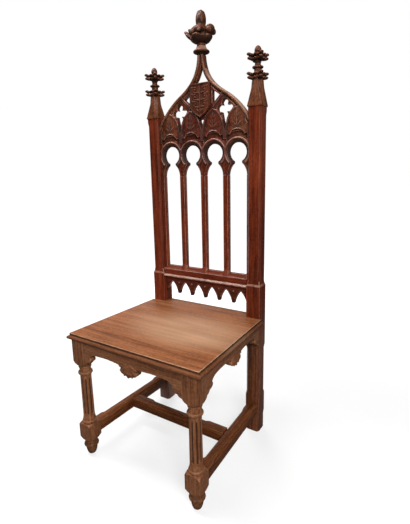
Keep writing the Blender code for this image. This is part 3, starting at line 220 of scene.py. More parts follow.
shader.inputs["Roughness"].default_value = 0.9
shader.inputs["Specular IOR Level"].default_value = 0.0
floor.data.materials.append(floor_paint)
print("floor:", FLOOR_RADIUS, "m round the chair")


# %% Lamps
def lamp(name, place, target, size, power, mirrored=True):
    """A soft lamp, so long and so wide in metres and of so many watts, that looks at a point."""
    light = bpy.data.lights.new(name, "AREA")
    light.shape, light.energy = "RECTANGLE", power
    light.size, light.size_y = size
    thing = bpy.data.objects.new(name, light)
    thing.location = place
    thing.rotation_euler = (Vector(target) - Vector(place)).to_track_quat("-Z", "Y").to_euler()
    thing.visible_camera, thing.visible_glossy = False, mirrored
    bpy.context.scene.collection.objects.link(thing)


lamp("overhead", (-1.0, -0.5, 3.0), (-1.0, -0.5, 0.0), (2.2, 0.6), 76.0)
lamp("front_right", (1.9, -2.0, 2.2), CHAIR_MIDDLE, (1.3, 1.3), 100.0)
lamp("behind", (-1.6, 2.0, 0.9), (0.0, 0.1, 0.8), (1.2, 1.2), 45.0, mirrored=False)
print("three lamps")

# %% [markdown]
# ## Varnished wood
# On the real chair one timber was stained in several depths and varnished: red-brown on the back, darker on
# its carved head, browner on the crown and the legs, and rubbed pale on the seat. An image of wood would
# repeat. Instead the figure is noise, drawn out along the grain of each piece: wide bands, flecks, fibres
# and fine pores, under small spots that follow no grain. Edges carry a number called relief, 1 where hands
# have rubbed the varnish thin, below 0 in hollows, which are darkened for the polish and dust gathered there
# and also as painted shade. Some pieces use relief as well for painted highlights and painted shade.

# %% Tones and varnish
TONES = {                   # dark, middle and light figure, and the bare wood where the varnish is gone
    "seat_wood": ((0.115, 0.034, 0.011), (0.243, 0.084, 0.031), (0.345, 0.138, 0.056), (0.62, 0.39, 0.24)),
    "frame_wood": ((0.070, 0.023, 0.008), (0.215, 0.080, 0.033), (0.33, 0.145, 0.070), (0.50, 0.30, 0.18)),
    "post_foot": ((0.055, 0.017, 0.006), (0.178, 0.057, 0.024), (0.275, 0.106, 0.052), (0.50, 0.30, 0.18)),
    "stretcher_wood": ((0.045, 0.014, 0.005), (0.145, 0.042, 0.012), (0.24, 0.09, 0.034), (0.46, 0.27, 0.16)),
    "back_wood": ((0.036, 0.006, 0.002), (0.132, 0.020, 0.006), (0.235, 0.047, 0.015), (0.54, 0.32, 0.24)),
    # The tracery's bare tone is pink, so that the pale tops of its rolls show as a painted highlight
    "tracery_wood": ((0.026, 0.004, 0.002), (0.095, 0.016, 0.006), (0.19, 0.040, 0.015), (0.50, 0.29, 0.23)),
    "shield_wood": ((0.026, 0.006, 0.002), (0.095, 0.022, 0.008), (0.18, 0.048, 0.018), (0.40, 0.20, 0.12)),
    "crown_wood": ((0.028, 0.008, 0.003), (0.120, 0.034, 0.012), (0.21, 0.072, 0.028), (0.50, 0.30, 0.21)),
    "block_wood": ((0.20, 0.11, 0.05), (0.33, 0.19, 0.09), (0.42, 0.26, 0.14), (0.48, 0.32, 0.19)),
}
# Roughness of the varnish
VARNISH = {"seat_wood": 0.58, "frame_wood": 0.36, "stretcher_wood": 0.36, "back_wood": 0.30,
           "tracery_wood": 0.32, "shield_wood": 0.48, "crown_wood": 0.36, "block_wood": 0.75}
# Strength of what the varnish mirrors
SHEEN = {"seat_wood": 0.15, "frame_wood": 0.16, "stretcher_wood": 0.08, "back_wood": 0.26,
         "tracery_wood": 0.30, "shield_wood": 0.15, "crown_wood": 0.20, "block_wood": 0.05}
# Bare wood all along a rubbed edge, and more of it in patches
WEAR = {"seat_wood": (0.30, 0.25), "frame_wood": (0.12, 0.40), "stretcher_wood": (0.05, 0.25),
        "back_wood": (0.15, 0.30), "tracery_wood": (0.20, 0.30), "shield_wood": (0.15, 0.25),
        "crown_wood": (0.30, 0.30), "block_wood": (0.1, 0.2)}
# Strength of the small spots
MOTTLE = {"seat_wood": 0.35, "frame_wood": 0.35, "stretcher_wood": 0.35, "back_wood": 0.25,
          "tracery_wood": 0.60, "shield_wood": 0.50, "crown_wood": 0.45, "block_wood": 0.20}
# Colour of the hollows: dust and old polish, and painted shade
DUST_AND_SHADE = (0.016, 0.008, 0.005)
RED_ABOVE = (0.34, 0.46)        # metres: the rear posts turn from the brown of their feet to the back's red
BROWN_BEYOND = (0.07, 0.15)     # metres from the middle: the outer bays of the head are browner
print(len(TONES), "stains and", len(VARNISH), "varnishes")

# %% Figure of the wood
DRAWN_OUT = {"X": (0.045, 1.0, 1.0), "Y": (1.0, 0.045, 1.0), "Z": (1.0, 1.0, 0.045)}
BANDS, FLECKS, FIBRES, PORES = 34.0, 110.0, 260.0, 1500.0       # noise per metre, across the grain
CLOUDS, PATCHES, SPOTS = 7.0, 45.0, 120.0                       # noise per metre, every way
DUST_AND_SHADE_IN_HOLLOWS = 0.85                                          # share of the hollows' colour in the deepest ones, standing for dust and for painted shade
GRAIN_DEPTH = 0.0006                                            # metres


def noise(start, where, scale, detail=3.0, bend=0.0):
    """Cloudy values about 0.5, so many to the metre."""
    return start.node("TexNoise", inputs={"Vector": where, "Scale": scale, "Detail": detail,
                                          "Roughness": 0.55, "Distortion": bend})


def stain(start, tone, figure):
    """The three colours of a stain, spread over the figure of the wood."""
    dark, middle, light, _ = TONES[tone]
    return start.node("ValToRGB", {"stops": ((0.28, dark), (0.50, middle), (0.74, light))}, {"Fac": figure})


def wood(tone, axis, rubbed=None):
    """A stained and varnished wood whose grain runs along one axis."""
    material, start, shader = new_material(f"{tone}_along_{axis}")
    where = start.node("TexCoord", output="Object")
    along = start.node("Mapping", inputs={"Vector": where, "Scale": DRAWN_OUT[axis]})
    bands = noise(start, along, BANDS, bend=0.8)
    fibres = noise(start, along, FIBRES, 4.0).between(0.30, 0.70)
    pores = noise(start, along, PORES, 2.0).between(0.30, 0.46)
    flecks = noise(start, along, FLECKS)
    clouds = noise(start, where, CLOUDS, 2.0)
    spots = noise(start, where, SPOTS) - 0.5
    figure = bands * 0.50 + fibres * 0.18 + flecks * 0.36 + clouds * 0.24 - 0.16 + spots * MOTTLE[tone]
    colour = stain(start, tone, figure)
    if tone == "back_wood":
        height = start.node("SeparateXYZ", inputs={"Vector": where}, output="Z")
        colour = blend(height.between(*RED_ABOVE), stain(start, "post_foot", figure), colour)
    if tone == "tracery_wood":
        across = start.node("SeparateXYZ", inputs={"Vector": where}, output="X")
        outer = (across * across).between(*(x * x for x in BROWN_BEYOND))
        colour = blend(outer * 0.8, colour, stain(start, "crown_wood", figure))
    colour = blend(1 - pores, colour, TONES[tone][0])
    relief = start.node("Attribute", {"attribute_name": "relief"}, output="Fac")
    patches = noise(start, where, PATCHES, 4.0).between(0.34, 0.64)
    hollow = (0 - relief).between(0.05, 0.75)
    everywhere, in_patches = WEAR[tone]
    wear_and_painted_light = relief.between(0.15, 1.0) * (everywhere + patches * in_patches)
    if rubbed:
        wear_and_painted_light = rubbed(start, where, wear_and_painted_light)
    colour = blend(wear_and_painted_light, colour, TONES[tone][3])
    # Hollows are darkened towards it: dust and polish, and painted shade
    colour = blend(hollow * DUST_AND_SHADE_IN_HOLLOWS, colour, DUST_AND_SHADE)
    colour.into(shader, "Base Color")
    dull = VARNISH[tone] + (1 - pores) * 0.12 + hollow * 0.55 + clouds * 0.14 - 0.07
    dull.into(shader, "Roughness")
    grain = fibres * 0.2 + pores * 0.6
    bump = start.node("Bump", inputs={"Height": grain, "Strength": 0.35, "Distance": GRAIN_DEPTH})
    bump.into(shader, "Normal")
    shader.inputs["Specular IOR Level"].default_value = SHEEN[tone]
    return material


# %% Which finish a piece gets
finishes = {}


def finish_for(node, axis):
    """The finish of a piece whose grain runs along an axis, made when it is first asked for."""
    tone = slot_of[node]
    if "stretcher" in node:
        tone = "stretcher_wood"
    elif node.startswith(("ogee", "pinnacle", "centre")):
        tone = "crown_wood"
    elif node.startswith(("tracery", "shield")):
        tone = node.split("_")[0] + "_wood"
    if (tone, axis) not in finishes:
        finishes[tone, axis] = wood(tone, axis)
    return finishes[tone, axis]


print("stretchers, crown, head and shield get stains of their own")

# %% [markdown]
# The middle of the seat is rubbed pale by years of use. That patch isn't an edge, so relief can't carry it.
# It is a soft oval in the seat's own coordinates, broken up by streaks of noise along the grain.

# %% The rubbed seat
RUBBED_MIDDLE = (0.08, -0.03, 0.46)
RUBBED_REACH = (0.27, 0.15, 0.10)
RUBBED_BARE = (0.38, 0.18)          # bare wood all over the oval, and more of it in streaks


def rubbed_by_sitters(start, where, wear_and_painted_light):
    """Add the rubbed oval to the wear on the seat's edges."""
    from_middle = start.node("VectorMath", {"operation": "SUBTRACT"}, {0: where, 1: RUBBED_MIDDLE})
    scaled = start.node("VectorMath", {"operation": "DIVIDE"}, {0: from_middle, 1: RUBBED_REACH})
    far = start.node("VectorMath", {"operation": "LENGTH"}, {0: scaled}, "Value")
    streaks = start.node("Mapping", inputs={"Vector": where, "Scale": (0.2, 1.0, 1.0)})
    everywhere, in_streaks = RUBBED_BARE
    bare = everywhere + noise(start, streaks, 16.0).between(0.3, 0.7) * in_streaks
    return wear_and_painted_light + (1 - far.between(0.25, 1.15)) * bare


finishes["seat_wood", "X"] = wood("seat_wood", "X", rubbed_by_sitters)
print("finishes so far:", [material.name for material in finishes.values()])

# %% [markdown]
# ## Straight joinery with worn edges
# Rails, posts and mullions came off the plane with crisp arrises, and handling has rounded them. A copy of
# each frame piece is merged, its flat faces made whole again, and its outer edges are bevelled. The bevel
# tells us which faces it made, so those faces can be marked as worn in the same step.

# %% Worn copies of the frame pieces
OUTER_EDGE = 28             # degrees: an edge that stands out more is worn
PLAIN_SMOOTH = 32           # degrees: sharper edges of straight joinery are shaded as edges


def whole_faces(node):
    """A copy of a frame piece with its loose triangles merged into whole faces."""
    bm = bmesh.new()
    bm.from_mesh(nodes[node].data)
    bmesh.ops.remove_doubles(bm, verts=bm.verts, dist=0.00002)
    bmesh.ops.dissolve_limit(bm, angle_limit=radians(1), verts=bm.verts, edges=bm.edges)
    return bm


def wear_edges(bm, width, run=""):
    """Round the edges that stand out, and mark the faces of the bevel as worn.

    With run, an axis, only the edges along it: the ends of a bar are shut in its joints.
    """
    wear_and_painted_light = bm.faces.layers.float.new("relief")
    edges = []
    for edge in bm.edges:
        way = edge.verts[1].co - edge.verts[0].co
        along = not run or abs(way["XYZ".index(run)]) > way.length / 2
        if along and edge.is_manifold and edge.calc_face_angle_signed() > radians(OUTER_EDGE):
            edges.append(edge)
    made = bmesh.ops.bevel(bm, geom=edges, offset=width, offset_type="OFFSET", affect="EDGES", segments=2,
                           profile=0.5, material=-1, clamp_overlap=True)
    for face in made["faces"]:
        face[wear_and_painted_light] = 1.0
    return wear_and_painted_light


def as_mesh(name, bm):
    """A mesh made of a bmesh, which is done with."""
    mesh = bpy.data.meshes.new(name)
    bm.to_mesh(mesh)
    bm.free()
    return mesh


def show(name, mesh, finish, stands_for, smooth_below=PLAIN_SMOOTH):
    """Make a mesh a piece of the chair, in the place of a frame piece."""
    mesh.shade_smooth()
    mesh.set_sharp_from_angle(angle=radians(smooth_below))
    mesh.materials.clear()
    mesh.materials.append(finish)
    piece = bpy.data.objects.new(name, mesh)
    bpy.context.scene.collection.objects.link(piece)
    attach(piece, "root")
    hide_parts(stands_for)
    print(f"{name}: {len(mesh.polygons)} faces")


print("edges that stand out more than", OUTER_EDGE, "degrees will be worn")

# %% Way of the grain, and width of the worn edges
BOTH = ("left", "right")
EDGE_WEAR = {}
for side in BOTH:
    EDGE_WEAR[f"rear_post_{side}"] = ("Z", 0.0012)
    EDGE_WEAR[f"side_stretcher_{side}"] = ("Y", 0.0012)
    EDGE_WEAR[f"half_mullion_{side}"] = ("Z", 0.0010)
    EDGE_WEAR[f"ogee_limb_{side}"] = ("Z", 0.0006)
    EDGE_WEAR[f"pinnacle_{side}"] = ("Z", 0.0008)
    EDGE_WEAR[f"corner_block_front_{side}"] = ("X", 0.0008)
    EDGE_WEAR[f"corner_block_rear_{side}"] = ("X", 0.0008)
for place in ("left", "centre", "right"):
    EDGE_WEAR[f"mullion_{place}"] = ("Z", 0.0010)
for node in ("cross_stretcher", "rear_apron", "back_sill_rail"):
    EDGE_WEAR[node] = ("X", 0.0012)
print(len(EDGE_WEAR), "pieces keep the shape they were sawn to")

# %% Wear on posts, arch and pinnacles, with painted highlights on posts and arch
POST_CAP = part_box("sill_bead")[1].z     # height of the shoulder on the square part of a post
CAP_SLOPE = 0.0075                      # rise of that shoulder
CHAMFER_STOPS = 0.0200                  # rise to where the chamfers over it have their full width


def mark_caps(bm, wear_and_painted_light):
    """The sloping shoulder on the square part of a post, and the chamfer stops over it, are painted pale:
    partly wear, partly a painted highlight.
    """
    for face in bm.faces:
        middle = face.calc_center_median()
        face[wear_and_painted_light] *= 0.5
        if POST_CAP - 0.0005 < middle.z < POST_CAP + CAP_SLOPE:
            face[wear_and_painted_light] = 1.0
        elif POST_CAP + CAP_SLOPE < middle.z < POST_CAP + CHAMFER_STOPS:
            face[wear_and_painted_light] = 0.8


def paint_top_highlight(bm, wear_and_painted_light):
    """The upward faces of the arch are painted pale: a painted highlight."""
    for face in bm.faces:
        if face.normal.z > 0.3 and face.normal.y < 0.3:
            face[wear_and_painted_light] = 1.0


def mark_spire(bm, wear_and_painted_light):
    """Nobody reaches the pinnacles, so their edges are hardly worn."""
    for face in bm.faces:
        face[wear_and_painted_light] *= 0.3


print("shoulders of the posts start at", round(POST_CAP, 4), "m")

# %% The worn sill and the feet of the mullions
SILL_LOW, SILL_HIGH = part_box("back_sill_rail")
SILL_EDGE = SILL_HIGH.z - 0.015     # height of its front edge
SLOPE_KEPT = 0.75                   # wear has taken the rest of the rise of its slope
NOSE_INSET = 0.0055                 # the nose of a mullion's foot is so much narrower on each side
NOSE_TOP, FLANK_TOP = 0.024, 0.018  # heights over the sill's edge at which the foot starts to spread


def wear_down(bm):
    """The slope of the sill is worn down, its front edge stays."""
    for vert in bm.verts:
        vert.co.z -= (1 - SLOPE_KEPT) * max(0.0, vert.co.z - SILL_EDGE)


def splay_foot(bm, wear_and_painted_light):
    """The foot of a mullion spreads forwards over the slope, as far as the edge of the sill."""
    xs = [vert.co.x for vert in bm.verts]
    face_y = min(vert.co.y for vert in bm.verts)
    middle, half = (min(xs) + max(xs)) / 2, (max(xs) - min(xs)) / 2
    corners = []
    for side in (-1, 1):
        nose, flank = middle + side * (half - NOSE_INSET), middle + side * half
        corners += [(nose, face_y, SILL_EDGE + NOSE_TOP), (nose, SILL_LOW.y + 0.0010, SILL_EDGE + 0.0008),
                    (flank, face_y + 0.007, SILL_EDGE + FLANK_TOP), (flank, face_y + 0.004, SILL_EDGE)]
    made = bmesh.ops.convex_hull(bm, input=[bm.verts.new(corner) for corner in corners])
    for item in made["geom"]:
        if isinstance(item, bmesh.types.BMFace):
            # The flanks of the foot are painted pale: partly wear, partly a painted highlight
            item[wear_and_painted_light] = 0.7 if abs(item.normal.x) > 0.3 else 0.2


print("slope of the sill worn down to", SLOPE_KEPT, "of its rise")

# %% Worn joinery
for node, (axis, width) in EDGE_WEAR.items():
    bm = whole_faces(node)
    if node == "back_sill_rail":
        wear_down(bm)
    straight = not node.startswith(("pinnacle", "ogee", "corner"))
    wear_and_painted_light = wear_edges(bm, width, axis if straight else "")
    if node.startswith("rear_post"):
        mark_caps(bm, wear_and_painted_light)
    if node.startswith("ogee"):
        paint_top_highlight(bm, wear_and_painted_light)
    if node.startswith("pinnacle"):
        mark_spire(bm, wear_and_painted_light)
    if node.startswith("mullion"):
        splay_foot(bm, wear_and_painted_light)
    show(f"worn_{node}", as_mesh(node, bm), finish_for(node, axis), node)

# %% [markdown]
# The seat's moulded edge is painted darker under an arris that is rubbed bare: its rounded half as painted
# shade, the step over it as dust and painted shade. The bead under the sill is the part that is touched most:
# its upper half is worn to a flat slope, and all of it is painted pale, partly wear and partly a painted
# highlight. Both keep their sawn shape, so nothing is modelled anew. Faces are found by their height and
# slope and marked, and the upper half of the bead is pushed back.

# %% Seat board
SEAT_ARRIS = 0.0006
ROUND_TOP = 0.4515                          # top of the rounded half of the seat's edge
SEAT_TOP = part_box("seat_board")[1].z
DARK_ROUND, DARK_STEP = -0.40, -0.60        # relief of the rounded half, painted shade, and of the step over it, dust and painted shade

bm = whole_faces("seat_board")
wear_and_painted_light = wear_edges(bm, SEAT_ARRIS)
for face in bm.faces:
    middle = face.calc_center_median()
    if middle.z < ROUND_TOP and face.normal.z > -0.5:
        face[wear_and_painted_light] = DARK_ROUND
    elif middle.z < SEAT_TOP - 0.0015 and abs(face.normal.z) < 0.5:
        face[wear_and_painted_light] = DARK_STEP
show("worn_seat_board", as_mesh("seat_board", bm), finishes["seat_wood", "X"], "seat_board")

# %% Sill bead
bm = whole_faces("sill_bead")
low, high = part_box("sill_bead")
for vert in bm.verts:
    if vert.co.z > (low.z + high.z) / 2:
        vert.co.y = high.y - 2 * (high.z - vert.co.z) / (high.z - low.z) * (high.y - low.y)
# The whole bead is painted pale: partly wear, partly a painted highlight
wear_and_painted_light = bm.faces.layers.float.new("relief")
for face in bm.faces:
    face[wear_and_painted_light] = 1.0
show("worn_sill_bead", as_mesh("sill_bead", bm), finish_for("sill_bead", "X"), "sill_bead")

# %% [markdown]
# ## Front legs
# A front leg was turned between centres from one square length: two blocks stay square, and where the lathe
# cuts their corners it leaves an arc on each face. The shaft between them is planed to eight sides and
# fluted with a round-nosed cutter. The same cuts are made here: a spun profile for everything round, the
# blocks as squares trimmed by a spun shape, and eight round-ended cutters taken out of the shaft.


# %% Turning, trimming and fluting
def turn(profile, centre, steps=40):
    """A solid from the lathe: radius and height pairs, from the foot to the top."""
    bm = bmesh.new()
    verts = [bm.verts.new((centre[0] + radius, centre[1], z)) for radius, z in profile]
    edges = [bm.edges.new(pair) for pair in zip(verts, verts[1:])]
    bmesh.ops.spin(bm, geom=verts + edges, cent=(*centre, 0.0), axis=(0, 0, 1), angle=2 * pi, steps=steps,
                   use_merge=True)
    bmesh.ops.remove_doubles(bm, verts=bm.verts, dist=0.000001)
    bmesh.ops.recalc_face_normals(bm, faces=bm.faces)
    return bm


def ring(radius, z, height, steps=6):
    """Profile of a round ring: its half circle from below to above."""
    half = height / 2
    angles = [-pi / 2 + pi * k / steps for k in range(steps + 1)]
    return [(radius - half + half * cos(angle), z + half * sin(angle)) for angle in angles]


def cut(first, operation, second):
    """Trim or cut one shape by another, and return what is left."""
    things = []
    for label, bm in (("kept", first), ("cutter", second)):
        thing = bpy.data.objects.new(label, as_mesh(label, bm))
        bpy.context.scene.collection.objects.link(thing)
        things.append(thing)
    modifier = things[0].modifiers.new("cut", "BOOLEAN")
    modifier.operation, modifier.solver, modifier.object = operation, "EXACT", things[1]
    shape = bpy.data.meshes.new_from_object(things[0].evaluated_get(bpy.context.evaluated_depsgraph_get()))
    result = bmesh.new()
    result.from_mesh(shape)
    for mesh in [shape] + [thing.data for thing in things]:
        bpy.data.meshes.remove(mesh)
    return result


def square_block(centre, half, low, high, arris):
    """An upright block with rounded arrises."""
    bm = bmesh.new()
    place = Matrix.Translation((*centre, (low + high) / 2))
    bmesh.ops.create_cube(bm, size=1.0, matrix=place @ Matrix.Diagonal((2 * half, 2 * half, high - low, 1.0)))
    upright = [edge for edge in bm.edges if abs(edge.verts[0].co.z - edge.verts[1].co.z) > arris]
    bmesh.ops.bevel(bm, geom=upright, offset=arris, affect="EDGES", segments=2, profile=0.5, material=-1)
    return bm


def together(shapes):
    """All shapes in one bmesh."""
    bm = bmesh.new()
    for shape in shapes:
        mesh = as_mesh("shape", shape)
        bm.from_mesh(mesh)
        bpy.data.meshes.remove(mesh)
    return bm


print("lathe, cutters and blocks ready")

# %% Sizes of a front leg
BLOCK_HALF = 0.026
BLOCK_ARRIS = 0.0012
TOP_BLOCK = (0.340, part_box("front_leg_left")[1].z)
BASE_BLOCK = (0.0600, 0.1265)
SHAFT = (0.138, 0.312)
SHAFT_RADIUS = 0.0203           # to the corners of the eight sides
FLUTE_RADIUS = 0.0054
FLUTE_DEPTH = 0.0024
FLUTE = (0.163, 0.292)          # heights of the middles of a flute's round ends
TOP_SHOULDER = [(0.0, 0.3395), (0.0196, 0.3395), (0.0218, 0.3440), (0.0268, 0.3490), (0.0330, 0.3550),
                (0.0372, 0.3625), (0.0400, 0.3720), (0.0400, 0.4500), (0.0, 0.4500)]
BASE_SHOULDERS = [(0.0, 0.0595), (0.0215, 0.0600), (0.0290, 0.0640), (0.0345, 0.0690), (0.0400, 0.0760),
                  (0.0400, 0.1120), (0.0372, 0.1170), (0.0335, 0.1215), (0.0268, 0.1250), (0.0, 0.1260)]
TURNED = ([(0.0, 0.0), (0.0100, 0.0), (0.0126, 0.0016), (0.0150, 0.0060), (0.0178, 0.0150), (0.0195, 0.0260),
           (0.0190, 0.0312)]
          + ring(0.0256, 0.0385, 0.013)
          + [(0.0206, 0.0460), (0.0203, 0.0520), (0.0203, 0.0620), (0.0190, 0.0700), (0.0190, 0.1180)]
          + ring(0.0247, 0.1318, 0.012)
          + [(0.0222, 0.1390), (0.0208, 0.1440), (0.0196, 0.1530), (0.0150, 0.1600), (0.0150, 0.3000),
             (0.0190, 0.3040), (0.0200, 0.3090)]
          + ring(0.0247, 0.3160, 0.012)
          + [(0.0196, 0.3230), (0.0193, 0.3340)]
          + ring(0.0218, 0.3380, 0.006)
          + [(0.0196, 0.3420), (0.0, 0.3440)])
print("a front leg is", round(TOP_BLOCK[1], 4), "m long, with", len(TURNED), "points on its profile")


# %% Shaft and blocks
def fluted_shaft(centre):
    """The eight-sided shaft, with a round-ended flute in each side."""
    bm = bmesh.new()
    place = Matrix.Translation((*centre, sum(SHAFT) / 2)) @ Matrix.Rotation(pi / 8, 4, "Z")
    bmesh.ops.create_cone(bm, cap_ends=True, segments=8, radius1=SHAFT_RADIUS, radius2=SHAFT_RADIUS - 0.001,
                          depth=SHAFT[1] - SHAFT[0], matrix=place)
    cutters = bmesh.new()
    from_axis = SHAFT_RADIUS * cos(pi / 8) + FLUTE_RADIUS - FLUTE_DEPTH
    for k in range(8):
        across = Matrix.Rotation(k * pi / 4, 4, "Z") @ Vector((from_axis, 0.0, 0.0))
        foot = Vector((centre[0] + across.x, centre[1] + across.y, FLUTE[0]))
        made = bmesh.ops.create_uvsphere(cutters, u_segments=16, v_segments=12, radius=FLUTE_RADIUS,
                                         matrix=Matrix.Translation(foot))
        upper = [vert for vert in made["verts"] if vert.co.z > foot.z + 0.00001]
        bmesh.ops.translate(cutters, vec=(0, 0, FLUTE[1] - FLUTE[0]), verts=upper)
    return cut(bm, "DIFFERENCE", cutters)


def trimmed_block(centre, heights, shoulders):
    """A square block whose corners the lathe has cut."""
    return cut(square_block(centre, BLOCK_HALF, *heights, BLOCK_ARRIS), "INTERSECT", turn(shoulders, centre))


print("shafts and blocks can be cut")

# %% Turned and worn legs
LEG_SMOOTH = 26                     # degrees, so that the eight sides of the shaft stay crisp
FOOT_TOP = 0.058
BLOCK_CORNER = 0.033                # from the axis: only the arrises of the blocks lie so far out
RING_FACE = (0.0225, 0.0258)        # from the axis
RUBBED_ARRIS, RUBBED_RING, DARK_FOOT = 0.9, 0.5, -0.32


def mark_leg(bm, centre):
    """Flutes darken with their depth, for polish in them and as painted shade, the foot is darker, and the
    rings and the edges of the blocks are worn.
    """
    relief = bm.faces.layers.float.new("relief")
    flat = SHAFT_RADIUS * cos(pi / 8) - 0.0005
    for face in bm.faces:
        middle = face.calc_center_median()
        from_axis = (middle.xy - Vector(centre)).length
        slanting = abs(abs(face.normal.x) - abs(face.normal.y)) < 0.5
        # Flutes: darker with depth, polish and painted shade
        if FLUTE[0] - FLUTE_RADIUS < middle.z < FLUTE[1] + FLUTE_RADIUS:
            face[relief] = min(0.0, (from_axis - flat) / FLUTE_DEPTH)
        elif from_axis > BLOCK_CORNER and slanting and abs(face.normal.z) < 0.3:
            face[relief] = RUBBED_ARRIS
        elif middle.z < FOOT_TOP:
            face[relief] = DARK_FOOT
        elif RING_FACE[0] < from_axis < RING_FACE[1] and abs(face.normal.z) < 0.8:
            face[relief] = RUBBED_RING


for side in BOTH:
    low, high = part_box(f"front_leg_{side}")
    centre = ((low.x + high.x) / 2, (low.y + high.y) / 2)
    top = trimmed_block(centre, TOP_BLOCK, TOP_SHOULDER)
    base = trimmed_block(centre, BASE_BLOCK, BASE_SHOULDERS)
    bm = together([turn(TURNED, centre), fluted_shaft(centre), base, top])
    mark_leg(bm, centre)
    node = f"front_leg_{side}"
    show(f"turned_{node}", as_mesh(node, bm), finish_for(node, "Z"), node, LEG_SMOOTH)

# %% [markdown]
# ## A carver's tools
# Carved leaves could be modelled face by face, but a carver thinks in lumps that run into each other. So a
# leaf is built from almond-shaped lobes, mouldings are sections swept round a centre, and all of it is fused
# with the board behind into one skin by a voxel remesh. Smoothing that skin a little softens it as sandpaper
# and wear do. The curve of the skin at each point then gives its relief: proud edges are rubbed, hollows
# hold dust.


# %% Lobes, mouldings and rods
def lobe(bm, start, end, width, thick, face=(0, -1, 0)):
    """An almond from start to end, with its flat side towards face."""
    start, end = Vector(start), Vector(end)
    along = (end - start).normalized()
    across = along.cross(Vector(face)).normalized()
    turned = Matrix((along, across, along.cross(across))).transposed().to_4x4()
    size = Matrix.Diagonal(((end - start).length / 2, width / 2, thick / 2, 1.0))
    place = Matrix.Translation((start + end) / 2) @ turned @ size
    bmesh.ops.create_uvsphere(bm, u_segments=16, v_segments=10, radius=1.0, matrix=place)


def moulding(section, centre, start, end, steps=24):
    """A section of radius and depth pairs, swept round a centre on the face of the back."""
    bm = bmesh.new()
    x, z = centre
    verts = [bm.verts.new((x + r * cos(start), y, z + r * sin(start))) for r, y in section]
    edges = [bm.edges.new(pair) for pair in zip(verts, verts[1:] + verts[:1])]
    bmesh.ops.spin(bm, geom=verts + edges, cent=(x, 0.0, z), axis=(0, -1, 0), angle=end - start, steps=steps)
    bmesh.ops.holes_fill(bm, edges=[edge for edge in bm.edges if edge.is_boundary], sides=0)
    bmesh.ops.recalc_face_normals(bm, faces=bm.faces)
    return bm


def roll(radius, thick, y, sides=10):
    """Section of a round moulding at a distance from its centre."""
    angles = [2 * pi * k / sides for k in range(sides)]
    return [(radius + thick * cos(angle), y + thick * sin(angle)) for angle in angles]


def rod(bm, start, end, radius):
    """A round bar from start to end."""
    start, end = Vector(start), Vector(end)
    way = (end - start).to_track_quat("Z", "Y").to_matrix().to_4x4()
    bmesh.ops.create_cone(bm, cap_ends=True, segments=14, radius1=radius, radius2=radius,
                          depth=(end - start).length, matrix=Matrix.Translation((start + end) / 2) @ way)


print("lobes, mouldings and rods ready")

# %% The carved skin
SANDINGS = 2
RELIEF_GAIN = 5.0
CARVED_SMOOTH = 60          # degrees: only sharper edges of a carved skin are shaded as edges


def carved(name, shapes, grain, patina_and_painted_light=None):
    """Fuse overlapping closed shapes into one skin, soften it and measure its relief.

    A function may change the relief at a vertex, for patina and for painted shade and highlights.
    """
    draft = bpy.data.objects.new("draft", as_mesh("draft", together(shapes)))
    bpy.context.scene.collection.objects.link(draft)
    skin = draft.modifiers.new("skin", "REMESH")
    skin.mode, skin.voxel_size = "VOXEL", grain
    mesh = bpy.data.meshes.new_from_object(draft.evaluated_get(bpy.context.evaluated_depsgraph_get()))
    bpy.data.meshes.remove(draft.data)
    bm = bmesh.new()
    bm.from_mesh(mesh)
    bpy.data.meshes.remove(mesh)
    for _ in range(SANDINGS):
        bmesh.ops.smooth_vert(bm, verts=bm.verts, factor=0.5,
                              use_axis_x=True, use_axis_y=True, use_axis_z=True)
    bm.normal_update()
    relief = bm.verts.layers.float.new("relief")
    for vert in bm.verts:
        ways = [edge.other_vert(vert).co - vert.co for edge in vert.link_edges]
        bends = [way.normalized().dot(vert.normal) for way in ways]
        level = -RELIEF_GAIN * sum(bends) / len(bends)
        if patina_and_painted_light:
            level = patina_and_painted_light(vert, level)
        vert[relief] = max(-1.0, min(1.0, level))
    return as_mesh(name, bm)


print("a carved skin is smoothed", SANDINGS, "times")

# %% [markdown]
# ## Tracery head
# The head of the back was sawn out of a board and then carved. Round each eye runs a roll. Over it lies a
# hollow, then a small round hood that leans out over the hollow, and above the hood a broad leaf fills the
# gablet. The board comes from the frame. The hollows and the pointed slits between the gablets are cut out of
# it, the rest is added to it before the skin is made, so that everything blends as if cut from one board.

# %% Sizes of the carving on the head
low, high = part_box("mullion_left")
FACE_Y = low.y                              # face of the tracery board
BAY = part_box("mullion_right")[0].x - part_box("mullion_centre")[0].x
MULLION_STUB = 0.012                        # stub tenon of a mullion in the head
EYE_RISE = 0.078                            # from the springing of the lancets to the middle of an eye
EYE_Z = high.z - MULLION_STUB + EYE_RISE
BOARD_HALF = 2 * BAY - 0.0006               # the board's edge at the posts
EYE_ROLL = (0.0482, 0.0037)                 # distance from the middle of an eye, and thickness
HOLLOW = (0.0620, 0.0090)                   # the same for the hollow over the eye
HALF_BAY = 0.0405                           # from the middle of a bay to the edge of its gablet
HOOD_Z = EYE_Z + 0.0485                     # middle of the small hood over the hollow
HOOD = (0.0300, 0.0021)                     # distance from that middle, and thickness
HOOD_PROUD = 0.0038                         # the hood stands so far out from the board
JOINT_Z = EYE_Z - EYE_RISE                  # where the board stands on the mullions
LEAF_FOOT = EYE_Z + 0.080                   # foot of the leaf in a gablet
CUSP_Z = EYE_Z + 0.150                      # middle of the three-lobed piercings
HEAD_GRAIN = 0.0015                         # size of the voxels of the skin
print(f"a bay is {BAY:.4f} m wide, and the eyes lie at {EYE_Z:.4f} m")


